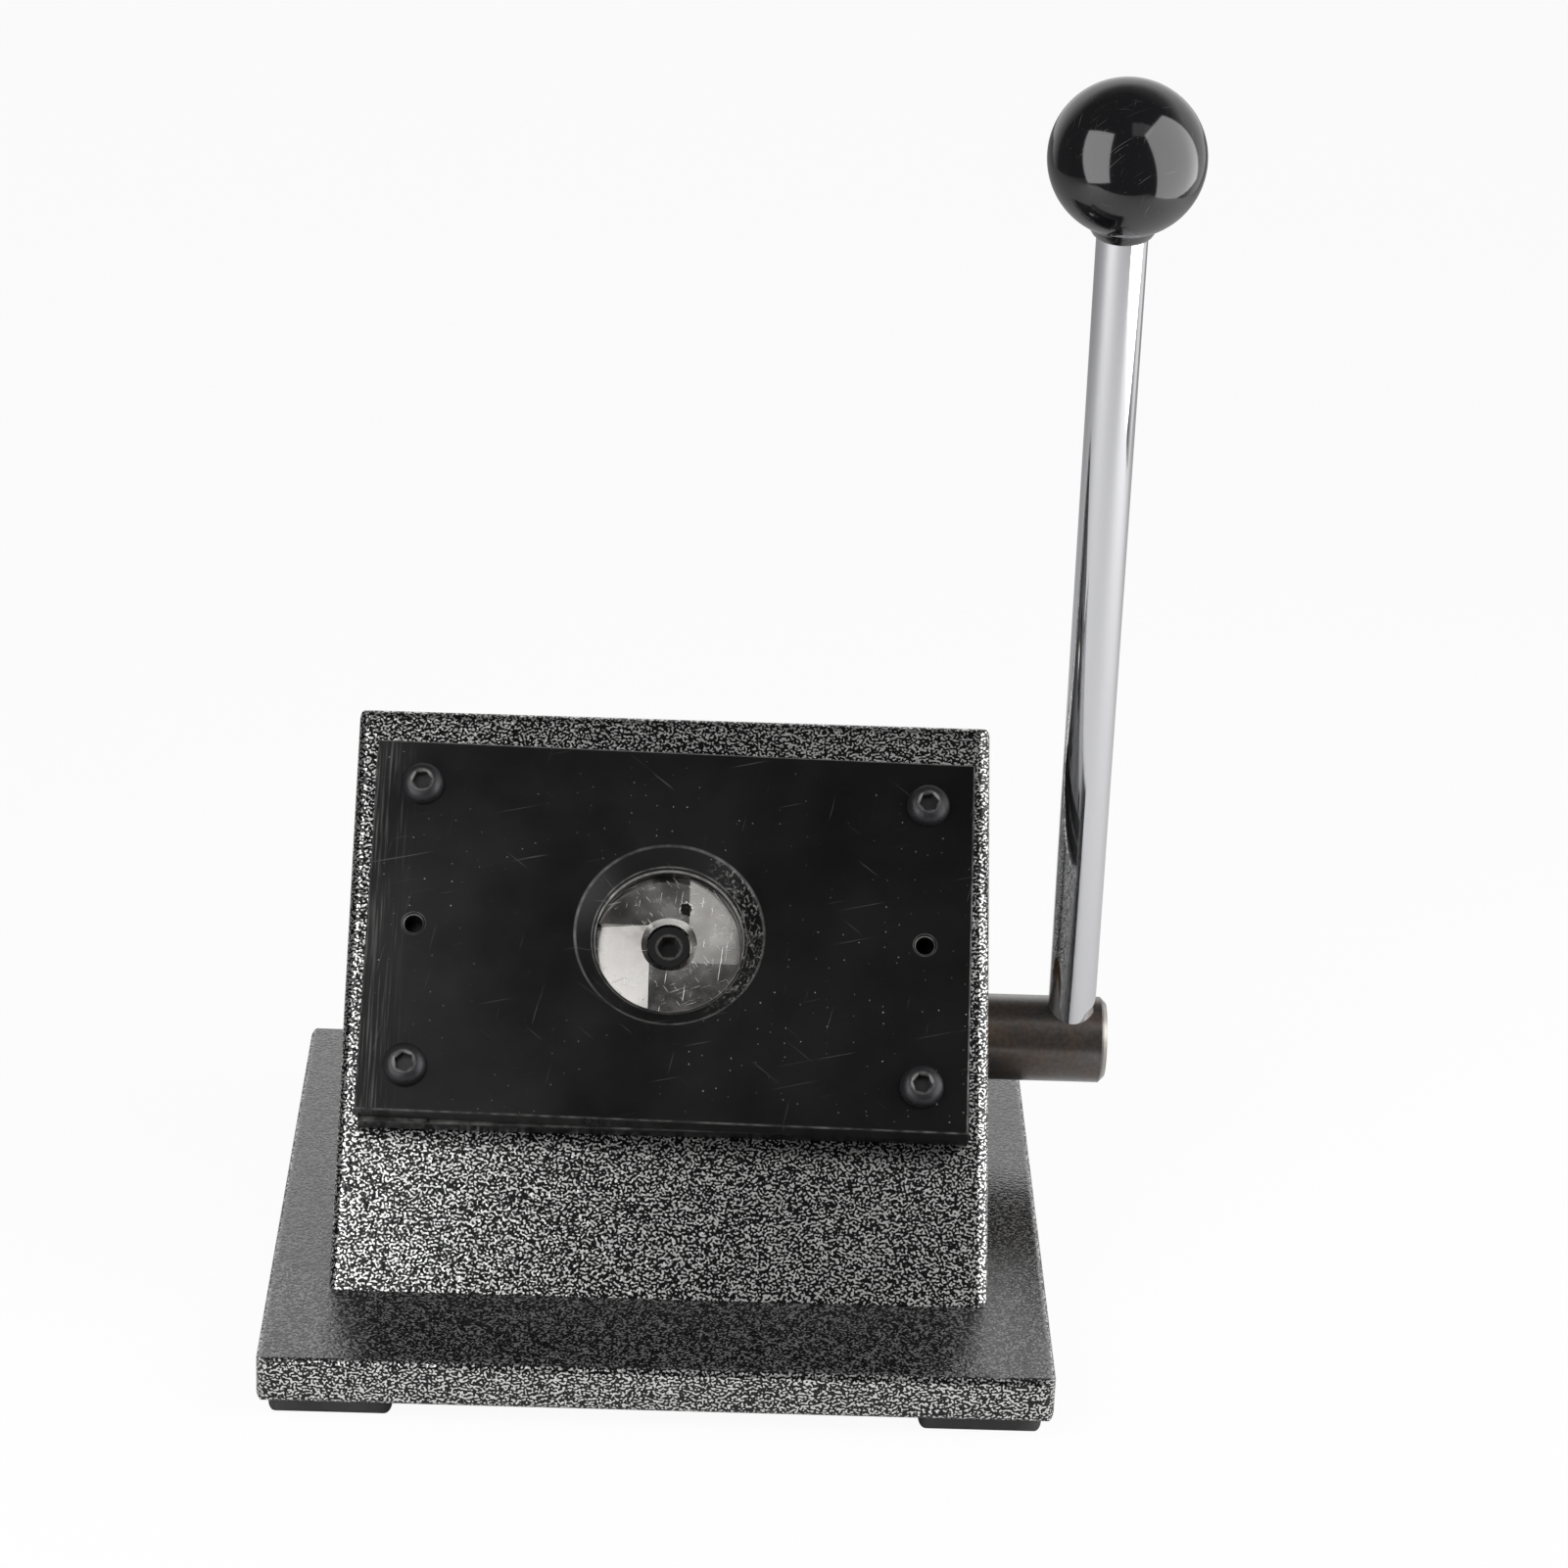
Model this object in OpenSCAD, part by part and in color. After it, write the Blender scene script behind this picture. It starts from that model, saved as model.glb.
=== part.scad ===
// Badge circle cutter: a bench press that punches round paper blanks for pin badges.
// A side lever turns an eccentric inside a sloped housing. The eccentric drives a ram along
// the normal of the sloped face, and the punch on the ram cuts through a die plate bolted there.
// Millimetres. Origin on the bench under the middle of the overall box, +Z up, the face looks to -Y.

/* [Base] */
// Width of the base plate, left to right
base_w = 180; // [170:1:220]
// Depth of the base plate, front to back
base_d = 168; // [160:1:220]
// Thickness of the base plate
base_t = 11; // [8:0.5:16]
// Radius of the base plate's upright corners
base_corner_r = 4; // [2:0.5:10]
// Radius of the base plate's eased edges
base_edge_r = 1.6; // [0.6:0.1:2.5]

/* [Feet] */
// Side of a square rubber foot
foot_w = 28; // [20:1:36]
// Height of a foot below the base plate
foot_h = 4; // [3.5:0.5:8]
// Distance of a foot from the base plate's edges
foot_inset = 2.5; // [1:0.5:8]
// Radius of a foot's upright corners
foot_corner_r = 4; // [2:0.5:8]
// Radius of a foot's lower edges
foot_edge_r = 1.2; // [0.4:0.1:2]

/* [Housing] */
// Width of the housing
body_w = 152; // [150:1:166]
// Length of the sloped face, from the base plate to the ridge
face_len = 145; // [138:1:160]
// Lean of the sloped face away from upright, in degrees
face_tilt = 45; // [42:1:48]
// Distance from the base plate's front edge to the foot of the face
face_setback = 32.5; // [26:0.5:36]
// Distance from the housing's back wall to the base plate's back edge
back_setback = 12; // [6:0.5:14]
// Thickness of the housing's front wall
front_wall = 8; // [7:0.5:10]
// Thickness of the housing's other walls
side_wall = 6; // [4:0.5:7]
// Radius of the housing's outer edges
body_edge_r = 2.6; // [1:0.2:3.6]
// Length of the bearing bosses inside the side walls
boss_len = 10; // [8:0.5:14]

/* [Die plates] */
// Distance of the punch axis up the face from the base plate
axis_up = 85; // [82:0.5:90]
// Width of the die plate and of the guide plate
plate_w = 142; // [136:1:148]
// Height of the die plate and of the guide plate
plate_h = 92; // [86:1:100]
// Thickness of the guide plate, which lies on the housing
guide_t = 5; // [4:0.5:8]
// Height of the paper slot between the two plates
slot_gap = 0.8; // [0.5:0.1:1.5]
// Width of the strips that set the paper slot, before their outer edge is set flush with the plates
shim_w = 16; // [14:0.5:20]
// Distance of a strip's middle line outside the line of the plate screws
shim_shift = 3; // [0:0.5:4]
// Thickness of the die plate
die_t = 6; // [5:0.5:9]
// Bevel round the edges of both plates
plate_bevel = 0.4; // [0.2:0.1:0.8]
// Spacing of the plate screws across the face
screw_dx = 120; // [110:1:124]
// Spacing of the plate screws up the face
screw_dy = 70; // [64:1:74]
// Turn of the die plate and its screws about the punch axis, as fitted, in degrees
die_skew = -0.8; // [-1.5:0.1:1.5]
// Diameter of the cutting edge, which is that of the paper blank
die_d = 35; // [30:0.5:38]
// Height of the straight wall behind the cutting edge
die_land = 1; // [0.5:0.1:2]
// Diameter of the relief cone where it meets the edge break
mouth_d = 43.6; // [42:0.2:48]
// Height of the edge break round the mouth
mouth_break = 0.5; // [0.2:0.1:1]
// Width of the edge break round the mouth
mouth_break_w = 0.8; // [0.3:0.1:1.2]
// Tapping size of the two spare threaded holes
spare_hole_d = 4.2; // [3.3:0.1:5]
// Mouth diameter of the countersink at a spare hole
spare_mouth_d = 5.6; // [5.2:0.1:7]

/* [Punch and ram] */
// Radial clearance between the punch and the cutting edge
cut_clear = 0.05; // [0.02:0.01:0.1]
// Radial clearance between the punch and the guide plate
strip_clear = 0.1; // [0.05:0.01:0.3]
// Distance of the resting punch behind the paper slot
rest_gap = 0.2; // [0.1:0.1:1]
// Length of the punch
punch_len = 22.8; // [20:0.2:24]
// Fall of each sheared facet from its ridge to the punch's rim
shear_drop = 1.5; // [0.5:0.1:2]
// Distance of the facet ridges from the punch axis
shear_ridge = 4.6; // [3.5:0.1:4.8]
// Depth of the punch screw's head below the punch face
head_sink = 2.2; // [1.8:0.1:3]
// Diameter of the counterbore for the punch screw
counterbore_d = 10.8; // [10.4:0.1:12]
// Width of the bevel round the counterbore
counterbore_bevel = 1.4; // [0.4:0.1:1.6]
// Length of the guide sleeve
sleeve_len = 20; // [18:0.5:22]
// Wall of the guide sleeve
sleeve_wall = 5.5; // [4:0.5:7]
// Thickness of the guide sleeve's flange
flange_t = 7; // [5:0.5:8]
// Width of the flange beyond the sleeve
flange_w = 10; // [9.5:0.5:12]
// Thickness of the ram's yoke, left to right
ram_t = 20; // [16:1:24]
// Thickness of the yoke's webs in front of and behind the eccentric
ram_web = 6; // [5:0.5:7]
// Thickness of the yoke's side webs
ram_side = 5; // [4:0.5:6]
// Bevel of the yoke's outer corners
ram_bevel = 7; // [6:0.5:8]

/* [Lever and shaft] */
// Diameter of the shaft where it leaves the housing
shaft_d = 21; // [19:0.5:24]
// Diameter of the shaft's core inside the housing
core_d = 14; // [12:0.5:15]
// Offset of the eccentric from the shaft's axis
ecc = 4; // [3:0.25:4.5]
// Least wall of the eccentric round the shaft's core
ecc_wall = 2; // [1.5:0.25:3]
// Travel of the lever from rest to the end of the cut, in degrees
lever_travel = 75; // [65:5:100]
// Lean of the resting lever behind upright, in degrees, below 0 where it leans forward
lever_lean = -11; // [-15:0.5:10]
// Distance of the lever rod from the housing's middle
rod_x = 99; // [98:0.5:120]
// Length of the shaft beyond the rod's axis
shaft_over = 8.5; // [8:0.5:16]
// Bevel at the shaft's outer end
shaft_bevel = 1.4; // [0.5:0.1:2]
// Diameter of the lever rod
rod_d = 11.5; // [10:0.5:13]
// Lean of the rod towards the housing, as drilled, in degrees
rod_lean_in = 1.2; // [0:0.1:2]
// Distance from the shaft's axis to the centre of the ball
lever_len = 241; // [160:1:260]
// Diameter of the ball knob
ball_d = 35; // [32:0.5:50]
// Diameter of the knob's collar where it leaves the ball
knob_collar_d = 17.5; // [16:0.5:20]
// Reach of the knob's collar below the ball
knob_collar_h = 1.1; // [0.5:0.1:4]
// Diameter of the rod's threaded end
rod_thread_d = 8; // [8:1:10]
// Length of the rod's threaded end
rod_thread_len = 16; // [12:1:18]
// Wall of the knob's brass insert
insert_wall = 1.5; // [1.5:0.25:2.5]
// Wall of the knob's collar round the insert, at the collar's lower end
knob_end_wall = 0.8; // [0.6:0.1:1.5]

/* [Stop and collars] */
// Width of the stop collar and of the retaining collar
collar_w = 12; // [10:0.5:14]
// Diameter of the stop pin
stop_pin_d = 5; // [4:0.5:6]
// Thickness of the thrust washers
washer_t = 1.5; // [1:0.25:2.5]
// Wall of the bearing bushes
bush_wall = 2.5; // [2:0.25:3.5]
// Wall of the retaining collar
collar_wall = 7; // [6:0.5:9]

/* [Hidden] */
$fn = 64;

// Clearances
run_fit = 0.04;
slip_fit = 0.01;
thread_fit = 0.02;
bolt_fit = 0.3;
end_play = 0.1;
yoke_clear = 0.3;
side_clear = 1;
ram_gap = 2.5;
bore_gap = 0.15;
stop_gap = 0.2;
pin_clear = 0.3;
tip_gap = 1;
over = 1;

// Screws: thread diameter, head diameter, head height and hexagon key
button_d = 6;
button_head_d = 10.2;
button_head_h = 3.3;
button_rim_h = 0.5;
button_key = 4;
button_key_h = 2.2;
button_grip = 6.5;
cap_d = 6;
cap_head_d = 10;
cap_head_h = 6;
cap_key = 5;
cap_key_h = 3;
cap_len = 25;
small_cap_d = 5;
small_cap_head_d = 8.5;
small_cap_head_h = 5;
small_cap_key = 4;
small_cap_key_h = 2.5;
sleeve_grip = 6;
sink_d = 6;
sink_head_d = 11.6;
sink_key = 4;
sink_key_h = 2;
sink_len = 20;
pan_d = 4;
pan_head_d = 8;
pan_head_h = 1.8;
pan_floor_gap = 0.6;
pan_grip = 7;
pan_slot_w = 1;
pan_slot_h = 1;
grub_d = 5;
grub_key = 2.5;
grub_key_h = 1.6;
grub_sink = 1;

// Housing blocks that take the screws from below
block_x = 35;
block_w = 16;
block_h = 12;
block_bite = 3;
front_block_in = 21;
back_block_in = 8;

// Places on the sloped face, whose own frame has Y up the face and Z out of it
face_foot_y = -base_d / 2 + face_setback;
face_y = face_foot_y + axis_up * sin(face_tilt);
face_z = base_t + axis_up * cos(face_tilt);
ridge_y = face_foot_y + face_len * sin(face_tilt);
ridge_z = base_t + face_len * cos(face_tilt);
back_y = base_d / 2 - back_setback;
back_top_z = ridge_z - (back_y - ridge_y) * tan(face_tilt);
die_z = guide_t + slot_gap;
plate_top_z = die_z + die_t;

// Ram and eccentric, worked out from the sleeve inwards
half_travel = lever_travel / 2;
stroke = 2 * ecc * sin(half_travel);
punch_d = die_d - 2 * cut_clear;
punch_top_z = guide_t - rest_gap;
punch_back_z = punch_top_z - punch_len;
screw_seat_z = punch_top_z - head_sink - cap_head_h;
yoke_front_z = -sleeve_len - stroke - ram_gap;
window_front_z = yoke_front_z - ram_web;
disc_r = core_d / 2 + ecc + ecc_wall;
disc_z = window_front_z - yoke_clear - disc_r;
window_back_z = disc_z - disc_r - yoke_clear;
yoke_back_z = window_back_z - ram_web;
window_half = disc_r + ecc * (1 - cos(half_travel)) + side_clear;
yoke_half = window_half + ram_side;
ram_relief = 0.5;
ram_head_d = punch_d - 2 * ram_relief;
spigot_d = 16;
spigot_h = 3;
ecc_pin_d = 4;
ecc_pin_sink = 1.5;

// Shaft axis, first in the face's frame and then in the part's frame
axle_u = -ecc;
axle_v = disc_z + ecc * sin(half_travel);
axle_y = face_y + axle_u * sin(face_tilt) - axle_v * cos(face_tilt);
axle_z = face_z + axle_u * cos(face_tilt) + axle_v * sin(face_tilt);

// Shaft stations from left to right
wall_x = body_w / 2;
boss_x = wall_x - side_wall - boss_len;
shoulder_x = boss_x - washer_t - 2 * end_play;
shaft_left_in = 1;
shaft_left_x = -wall_x + shaft_left_in;
shaft_right_x = rod_x + shaft_over;
collar_mid_x = shoulder_x - collar_w / 2;
rod_seat = rod_d / 2;
rod_bevel = 0.8;
bush_right_d = shaft_d + 2 * bush_wall;
bush_left_d = core_d + 2 * bush_wall;
washer_lip = 2.5;

// Stop: a pin in the right boss runs in a notch of the stop collar
stop_rim = 0.5;
boss_rim = 2.5;
stop_r = shaft_d / 2 + washer_lip + bore_gap + pin_clear + stop_pin_d / 2;
stop_collar_d = 2 * (stop_r + stop_pin_d / 2 + stop_rim);
stop_half_angle = asin((stop_pin_d / 2 + stop_gap) / stop_r);
stop_angle = 60;
stop_pin_seat = 8;
boss_d = 2 * (stop_r + stop_pin_d / 2 + boss_rim);

// Knob, measured from the ball's centre down the rod
knob_foot = ball_d / 2 + knob_collar_h;
insert_d = rod_thread_d + 2 * insert_wall;
insert_end = 1;
insert_len = rod_thread_len + insert_end;
knob_end_d = insert_d + 2 * knob_end_wall;
collar_top = sqrt(pow(ball_d / 2, 2) - pow(knob_collar_d / 2, 2));
collar_slope = (knob_collar_d - knob_end_d) / (knob_foot - collar_top);

// Guide sleeve
sleeve_d = punch_d + 2 * run_fit + 2 * sleeve_wall;
flange_d = sleeve_d + 2 * flange_w;
sleeve_pcd = sleeve_d + flange_w;

// Place of the base plate: the overall width is centred, and the feet stand on Z = 0
ball_x = rod_x - lever_len * sin(rod_lean_in);
right_reach = max(ball_x + ball_d / 2, shaft_right_x);
base_x = (base_w / 2 - right_reach) / 2;

// Frame of the base plate, at the middle of its underside
module on_base() {
    translate([base_x, 0, foot_h])
        children();
}

// Frame of the sloped face at the punch axis
module on_face() {
    on_base()
        translate([0, face_y, face_z])
            rotate([90 - face_tilt, 0, 0])
                children();
}

// Frame of the die plate, which sits a little askew on the face
module on_die() {
    on_face()
        rotate([0, 0, die_skew])
            children();
}

// Frame of the shaft, with Y up the sloped face
module on_axle() {
    on_face()
        translate([0, axle_u, axle_v])
            children();
}

// Frame of the eccentric, with Y towards its centre
module on_eccentric() {
    on_axle()
        rotate([-half_travel, 0, 0])
            children();
}

// Frame of the lever, with X along the shaft
module on_lever() {
    on_base()
        translate([0, axle_y, axle_z])
            rotate([-lever_lean, 0, 0])
                children();
}

// Frame of the rod, with Z up the rod from the shaft's axis
module on_rod() {
    on_lever()
        translate([rod_x, 0, 0])
            rotate([0, -rod_lean_in, 0])
                children();
}

// Lays a vertical solid along X
module along_x() {
    rotate([0, 90, 0])
        children();
}

// Extrudes an outline drawn in Y and Z along X, centred
module prism_x(w) {
    rotate([90, 0, 90])
        linear_extrude(w, center = true)
            children();
}

// Extrudes an outline drawn in X and Z along Y, centred
module prism_y(d) {
    rotate([90, 0, 0])
        linear_extrude(d, center = true)
            children();
}

// Puts a child at each plate screw
module at_plate_screws() {
    for (x = [-1, 1], y = [-1, 1])
        translate([x * screw_dx / 2, y * screw_dy / 2, 0])
            children();
}

// Puts a child at each screw of the sleeve's flange
module at_sleeve_screws() {
    for (a = [45 : 90 : 315])
        rotate([0, 0, a])
            translate([sleeve_pcd / 2, 0, 0])
                children();
}

// Puts a child at each foot
module at_feet() {
    foot_x = base_w / 2 - foot_inset - foot_w / 2;
    foot_y = base_d / 2 - foot_inset - foot_w / 2;
    on_base()
        for (x = [-1, 1], y = [-1, 1])
            translate([x * foot_x, y * foot_y, 0])
                children();
}

// Puts a child at each screw that holds the housing to the base plate
module at_housing_screws() {
    front_y = face_foot_y + front_block_in;
    rear_y = back_y - side_wall - back_block_in;
    on_base()
        for (x = [-1, 1], y = [front_y, rear_y])
            translate([x * block_x, y, 0])
                children();
}

// Rectangle with round corners
module rounded_rect(w, h, r) {
    square([w - 2 * r, h], center = true);
    square([w, h - 2 * r], center = true);
    for (x = [-1, 1], y = [-1, 1])
        translate([x * (w / 2 - r), y * (h / 2 - r)])
            circle(r);
}

// Rectangle with bevelled corners
module bevelled_rect(w, h, c) {
    polygon([
        for (q = [[1, 1], [-1, 1], [-1, -1], [1, -1]], s = [0, 1])
            let (first = (q[0] * q[1] > 0) == (s == 0))
                [q[0] * (w / 2 - (first ? 0 : c)), q[1] * (h / 2 - (first ? c : 0))]
    ]);
}

// Plate with bevelled edges, standing on Z = 0
module bevelled_plate(w, h, t, c) {
    translate([0, 0, t / 2])
        intersection() {
            prism_x(w + over)
                bevelled_rect(h, t, c);
            prism_y(h + over)
                bevelled_rect(w, t, c);
        }
}

// Slab with round corners and eased edges, standing on Z = 0
module eased_slab(w, d, t, corner_r, edge_r) {
    translate([0, 0, t / 2])
        intersection() {
            linear_extrude(t + over, center = true)
                rounded_rect(w, d, corner_r);
            prism_x(w + over)
                rounded_rect(d, t, edge_r);
            prism_y(d + over)
                rounded_rect(w, t, edge_r);
        }
}

// Hexagon socket sunk from Z = 0
module hex_socket(key, depth) {
    translate([0, 0, -depth])
        cylinder(d = key / cos(30), h = depth + over, $fn = 6);
}

// Button-head screw, its head on Z = 0 and its thread below
module button_screw(len) {
    crown_h = button_head_h - button_rim_h;
    crown_r = (pow(button_head_d / 2, 2) + pow(crown_h, 2)) / (2 * crown_h);
    difference() {
        union() {
            translate([0, 0, -len])
                cylinder(d = button_d, h = len);
            intersection() {
                cylinder(d = button_head_d, h = button_head_h);
                translate([0, 0, button_head_h - crown_r])
                    sphere(crown_r);
            }
        }
        translate([0, 0, button_head_h])
            hex_socket(button_key, button_key_h);
    }
}

// Socket cap screw, its head on Z = 0 and its thread below
module cap_screw(d, head_d, head_h, key, key_h, len) {
    difference() {
        union() {
            translate([0, 0, -len])
                cylinder(d = d, h = len);
            cylinder(d = head_d, h = head_h);
        }
        translate([0, 0, head_h])
            hex_socket(key, key_h);
    }
}

// Profile of a countersunk screw's outside, head down on Z = 0
module sink_shape(extra) {
    head_h = (sink_head_d - sink_d) / 2;
    rotate_extrude()
        polygon([
            [0, -extra],
            [sink_head_d / 2 + extra, -extra],
            [sink_d / 2 + extra, head_h],
            [sink_d / 2 + extra, sink_len],
            [0, sink_len]
        ]);
}

// Headless screw with a socket in its outer end, from r1 out to r2 along Z
module grub_screw(r1, r2) {
    difference() {
        translate([0, 0, r1])
            cylinder(d = grub_d, h = r2 - r1);
        translate([0, 0, r2])
            hex_socket(grub_key, grub_key_h);
    }
}

// Outer form of the housing: a wedge with a sloped front, round-edged by crossing prisms
module housing_outer() {
    reach = 2 * (base_d + face_len);
    intersection() {
        on_base()
            prism_x(body_w)
                polygon([
                    [face_foot_y, base_t],
                    [ridge_y, ridge_z],
                    [back_y, back_top_z],
                    [back_y, base_t]
                ]);
        on_face()
            translate([0, 0, -reach / 2])
                prism_y(reach)
                    rounded_rect(body_w, reach, body_edge_r);
        on_face()
            translate([0, face_len - axis_up - reach / 2, 0])
                linear_extrude(reach, center = true)
                    rounded_rect(body_w, reach, body_edge_r);
        on_face()
            translate([0, face_len - axis_up - reach / 2, -reach / 2])
                prism_x(body_w + over)
                    rounded_rect(reach, reach, body_edge_r);
        on_base()
            translate([0, back_y - reach / 2, 0])
                linear_extrude(reach)
                    rounded_rect(body_w, reach, body_edge_r);
    }
}

// Space inside the housing, open below
module housing_cavity() {
    foot_in = front_wall / cos(face_tilt);
    top_in = side_wall / cos(face_tilt);
    slope = 1 / tan(face_tilt);
    inner_back = back_y - side_wall;
    front_c = base_t - (face_foot_y + foot_in) * slope;
    top_c = ridge_z - top_in * tan(face_tilt) + ridge_y * tan(face_tilt);
    apex_y = (top_c - front_c) / (slope + tan(face_tilt));
    on_base()
        prism_x(body_w - 2 * side_wall)
            polygon([
                [face_foot_y + foot_in - over / slope, base_t - over],
                [apex_y, front_c + apex_y * slope],
                [inner_back, top_c - inner_back * tan(face_tilt)],
                [inner_back, base_t - over]
            ]);
}

// Bearing bosses and screw blocks that stand inside the housing
module housing_inner_lugs() {
    for (x = [-1, 1])
        on_axle()
            translate([x * (wall_x - side_wall / 2 - boss_len / 2), 0, 0])
                along_x()
                    cylinder(d = boss_d, h = boss_len + side_wall / 2, center = true);
    at_housing_screws()
        translate([0, 0, base_t + block_h / 2])
            cube([block_w, block_w + 2 * block_bite, block_h], center = true);
}

module base_plate() {
    color("dimgray")
        difference() {
            on_base()
                eased_slab(base_w, base_d, base_t, base_corner_r, base_edge_r);
            at_housing_screws()
                sink_shape(thread_fit);
            at_feet()
                translate([0, 0, -over])
                    cylinder(d = pan_d + 2 * thread_fit, h = pan_grip + over);
        }
}

module feet() {
    recess_h = pan_head_h + pan_floor_gap;
    color("black")
        at_feet()
            difference() {
                intersection() {
                    translate([0, 0, -foot_h])
                        eased_slab(foot_w, foot_w, 2 * foot_h, foot_corner_r, foot_edge_r);
                    translate([0, 0, -foot_h / 2])
                        cube([foot_w + over, foot_w + over, foot_h], center = true);
                }
                translate([0, 0, -foot_h - over])
                    cylinder(d = pan_d + 2 * bolt_fit, h = foot_h + 2 * over);
                translate([0, 0, -foot_h - over])
                    cylinder(d = pan_head_d + 2 * bolt_fit, h = recess_h + over);
            }
}

module foot_screws() {
    head_top = -foot_h + pan_floor_gap + pan_head_h;
    color("silver")
        at_feet()
            difference() {
                union() {
                    translate([0, 0, head_top])
                        cylinder(d = pan_d, h = pan_grip - tip_gap - head_top);
                    translate([0, 0, head_top - pan_head_h])
                        cylinder(d = pan_head_d, h = pan_head_h);
                }
                translate([0, 0, head_top - pan_head_h])
                    cube([pan_head_d + over, pan_slot_w, 2 * pan_slot_h], center = true);
            }
}

module housing() {
    color("gray")
        difference() {
            union() {
                difference() {
                    housing_outer();
                    housing_cavity();
                }
                intersection() {
                    housing_outer();
                    housing_inner_lugs();
                }
            }
            on_face()
                translate([0, 0, -front_wall - over])
                    cylinder(d = sleeve_d + 2 * thread_fit, h = front_wall + 2 * over);
            on_die()
                at_plate_screws()
                    translate([0, 0, -front_wall - over])
                        cylinder(d = button_d + 2 * thread_fit, h = front_wall + 2 * over);
            on_face()
                at_sleeve_screws()
                    translate([0, 0, -front_wall - over])
                        cylinder(d = small_cap_d + 2 * thread_fit, h = sleeve_grip + tip_gap + over);
            on_axle()
                along_x()
                    cylinder(d = bush_right_d, h = wall_x + over);
            on_axle()
                along_x()
                    translate([0, 0, -wall_x - over])
                        cylinder(d = bush_left_d, h = wall_x + over);
            at_stop_pin()
                translate([0, 0, boss_x - over])
                    cylinder(d = stop_pin_d, h = stop_pin_seat + over);
            at_housing_screws()
                translate([0, 0, base_t - over])
                    cylinder(d = sink_d + 2 * thread_fit, h = sink_len - base_t + tip_gap + over);
        }
}

module housing_screws() {
    color("silver")
        at_housing_screws()
            difference() {
                sink_shape(0);
                mirror([0, 0, 1])
                    hex_socket(sink_key, sink_key_h);
            }
}

module guide_plate() {
    color("black")
        difference() {
            on_face()
                bevelled_plate(plate_w, plate_h, guide_t, plate_bevel);
            on_face()
                translate([0, 0, -over])
                    cylinder(d = punch_d + 2 * strip_clear, h = guide_t + 2 * over);
            on_die()
                at_plate_screws()
                    translate([0, 0, -over])
                        cylinder(d = button_d + 2 * bolt_fit, h = guide_t + 2 * over);
        }
}

module slot_shims() {
    shim_in_x = screw_dx / 2 + shim_shift - shim_w / 2;
    color("gray")
        difference() {
            on_face()
                for (x = [-1, 1])
                    translate([x * (shim_in_x + plate_w / 2) / 2, 0, guide_t + slot_gap / 2])
                        cube([plate_w / 2 - shim_in_x, plate_h, slot_gap], center = true);
            on_die()
                at_plate_screws()
                    translate([0, 0, guide_t - over])
                        cylinder(d = button_d + 2 * bolt_fit, h = slot_gap + 2 * over);
        }
}

// Hole of the die plate: cutting edge, straight land, relief cone and edge break
module die_opening() {
    rotate_extrude()
        polygon([
            [0, die_z - over],
            [die_d / 2, die_z - over],
            [die_d / 2, die_z + die_land],
            [mouth_d / 2, plate_top_z - mouth_break],
            [mouth_d / 2 + mouth_break_w, plate_top_z],
            [mouth_d / 2 + mouth_break_w, plate_top_z + over],
            [0, plate_top_z + over]
        ]);
}

module die_plate() {
    sink_h = (spare_mouth_d - spare_hole_d) / 2;
    color("black")
        on_die()
            difference() {
                translate([0, 0, die_z])
                    bevelled_plate(plate_w, plate_h, die_t, plate_bevel);
                die_opening();
                at_plate_screws()
                    translate([0, 0, die_z - over])
                        cylinder(d = button_d + 2 * bolt_fit, h = die_t + 2 * over);
                for (x = [-1, 1])
                    translate([x * screw_dx / 2, 0, 0]) {
                        translate([0, 0, die_z - over])
                            cylinder(d = spare_hole_d, h = die_t + 2 * over);
                        translate([0, 0, plate_top_z - sink_h])
                            cylinder(d1 = spare_hole_d, d2 = spare_mouth_d, h = sink_h);
                    }
            }
}

module die_plate_screws() {
    color("dimgray")
        on_die()
            at_plate_screws()
                translate([0, 0, plate_top_z])
                    button_screw(plate_top_z + button_grip);
}

module guide_sleeve() {
    color("darkgoldenrod")
        on_face()
            difference() {
                union() {
                    translate([0, 0, -sleeve_len])
                        cylinder(d = sleeve_d, h = sleeve_len);
                    translate([0, 0, -front_wall - flange_t])
                        cylinder(d = flange_d, h = flange_t);
                }
                translate([0, 0, -sleeve_len - flange_t - over])
                    cylinder(d = punch_d + 2 * run_fit, h = sleeve_len + flange_t + 2 * over);
                at_sleeve_screws()
                    translate([0, 0, -front_wall - flange_t - over])
                        cylinder(d = small_cap_d + 2 * bolt_fit, h = flange_t + 2 * over);
            }
}

module sleeve_screws() {
    color("dimgray")
        on_face()
            at_sleeve_screws()
                translate([0, 0, -front_wall - flange_t])
                    mirror([0, 0, 1])
                        cap_screw(small_cap_d, small_cap_head_d, small_cap_head_h, small_cap_key,
                            small_cap_key_h, flange_t + sleeve_grip);
}

// The four facets each fall away from a ridge that runs past the counterbore like a pinwheel
module shear_cuts() {
    run = punch_d / 2 - shear_ridge;
    slope = shear_drop / run;
    for (a = [0 : 90 : 270])
        rotate([0, 0, a])
            translate([0, punch_d / 2 - shear_ridge, 0])
                prism_y(punch_d)
                    polygon([
                        [shear_ridge, 0],
                        [punch_d, -slope * (punch_d - shear_ridge)],
                        [punch_d, over],
                        [shear_ridge, over]
                    ]);
}

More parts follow.
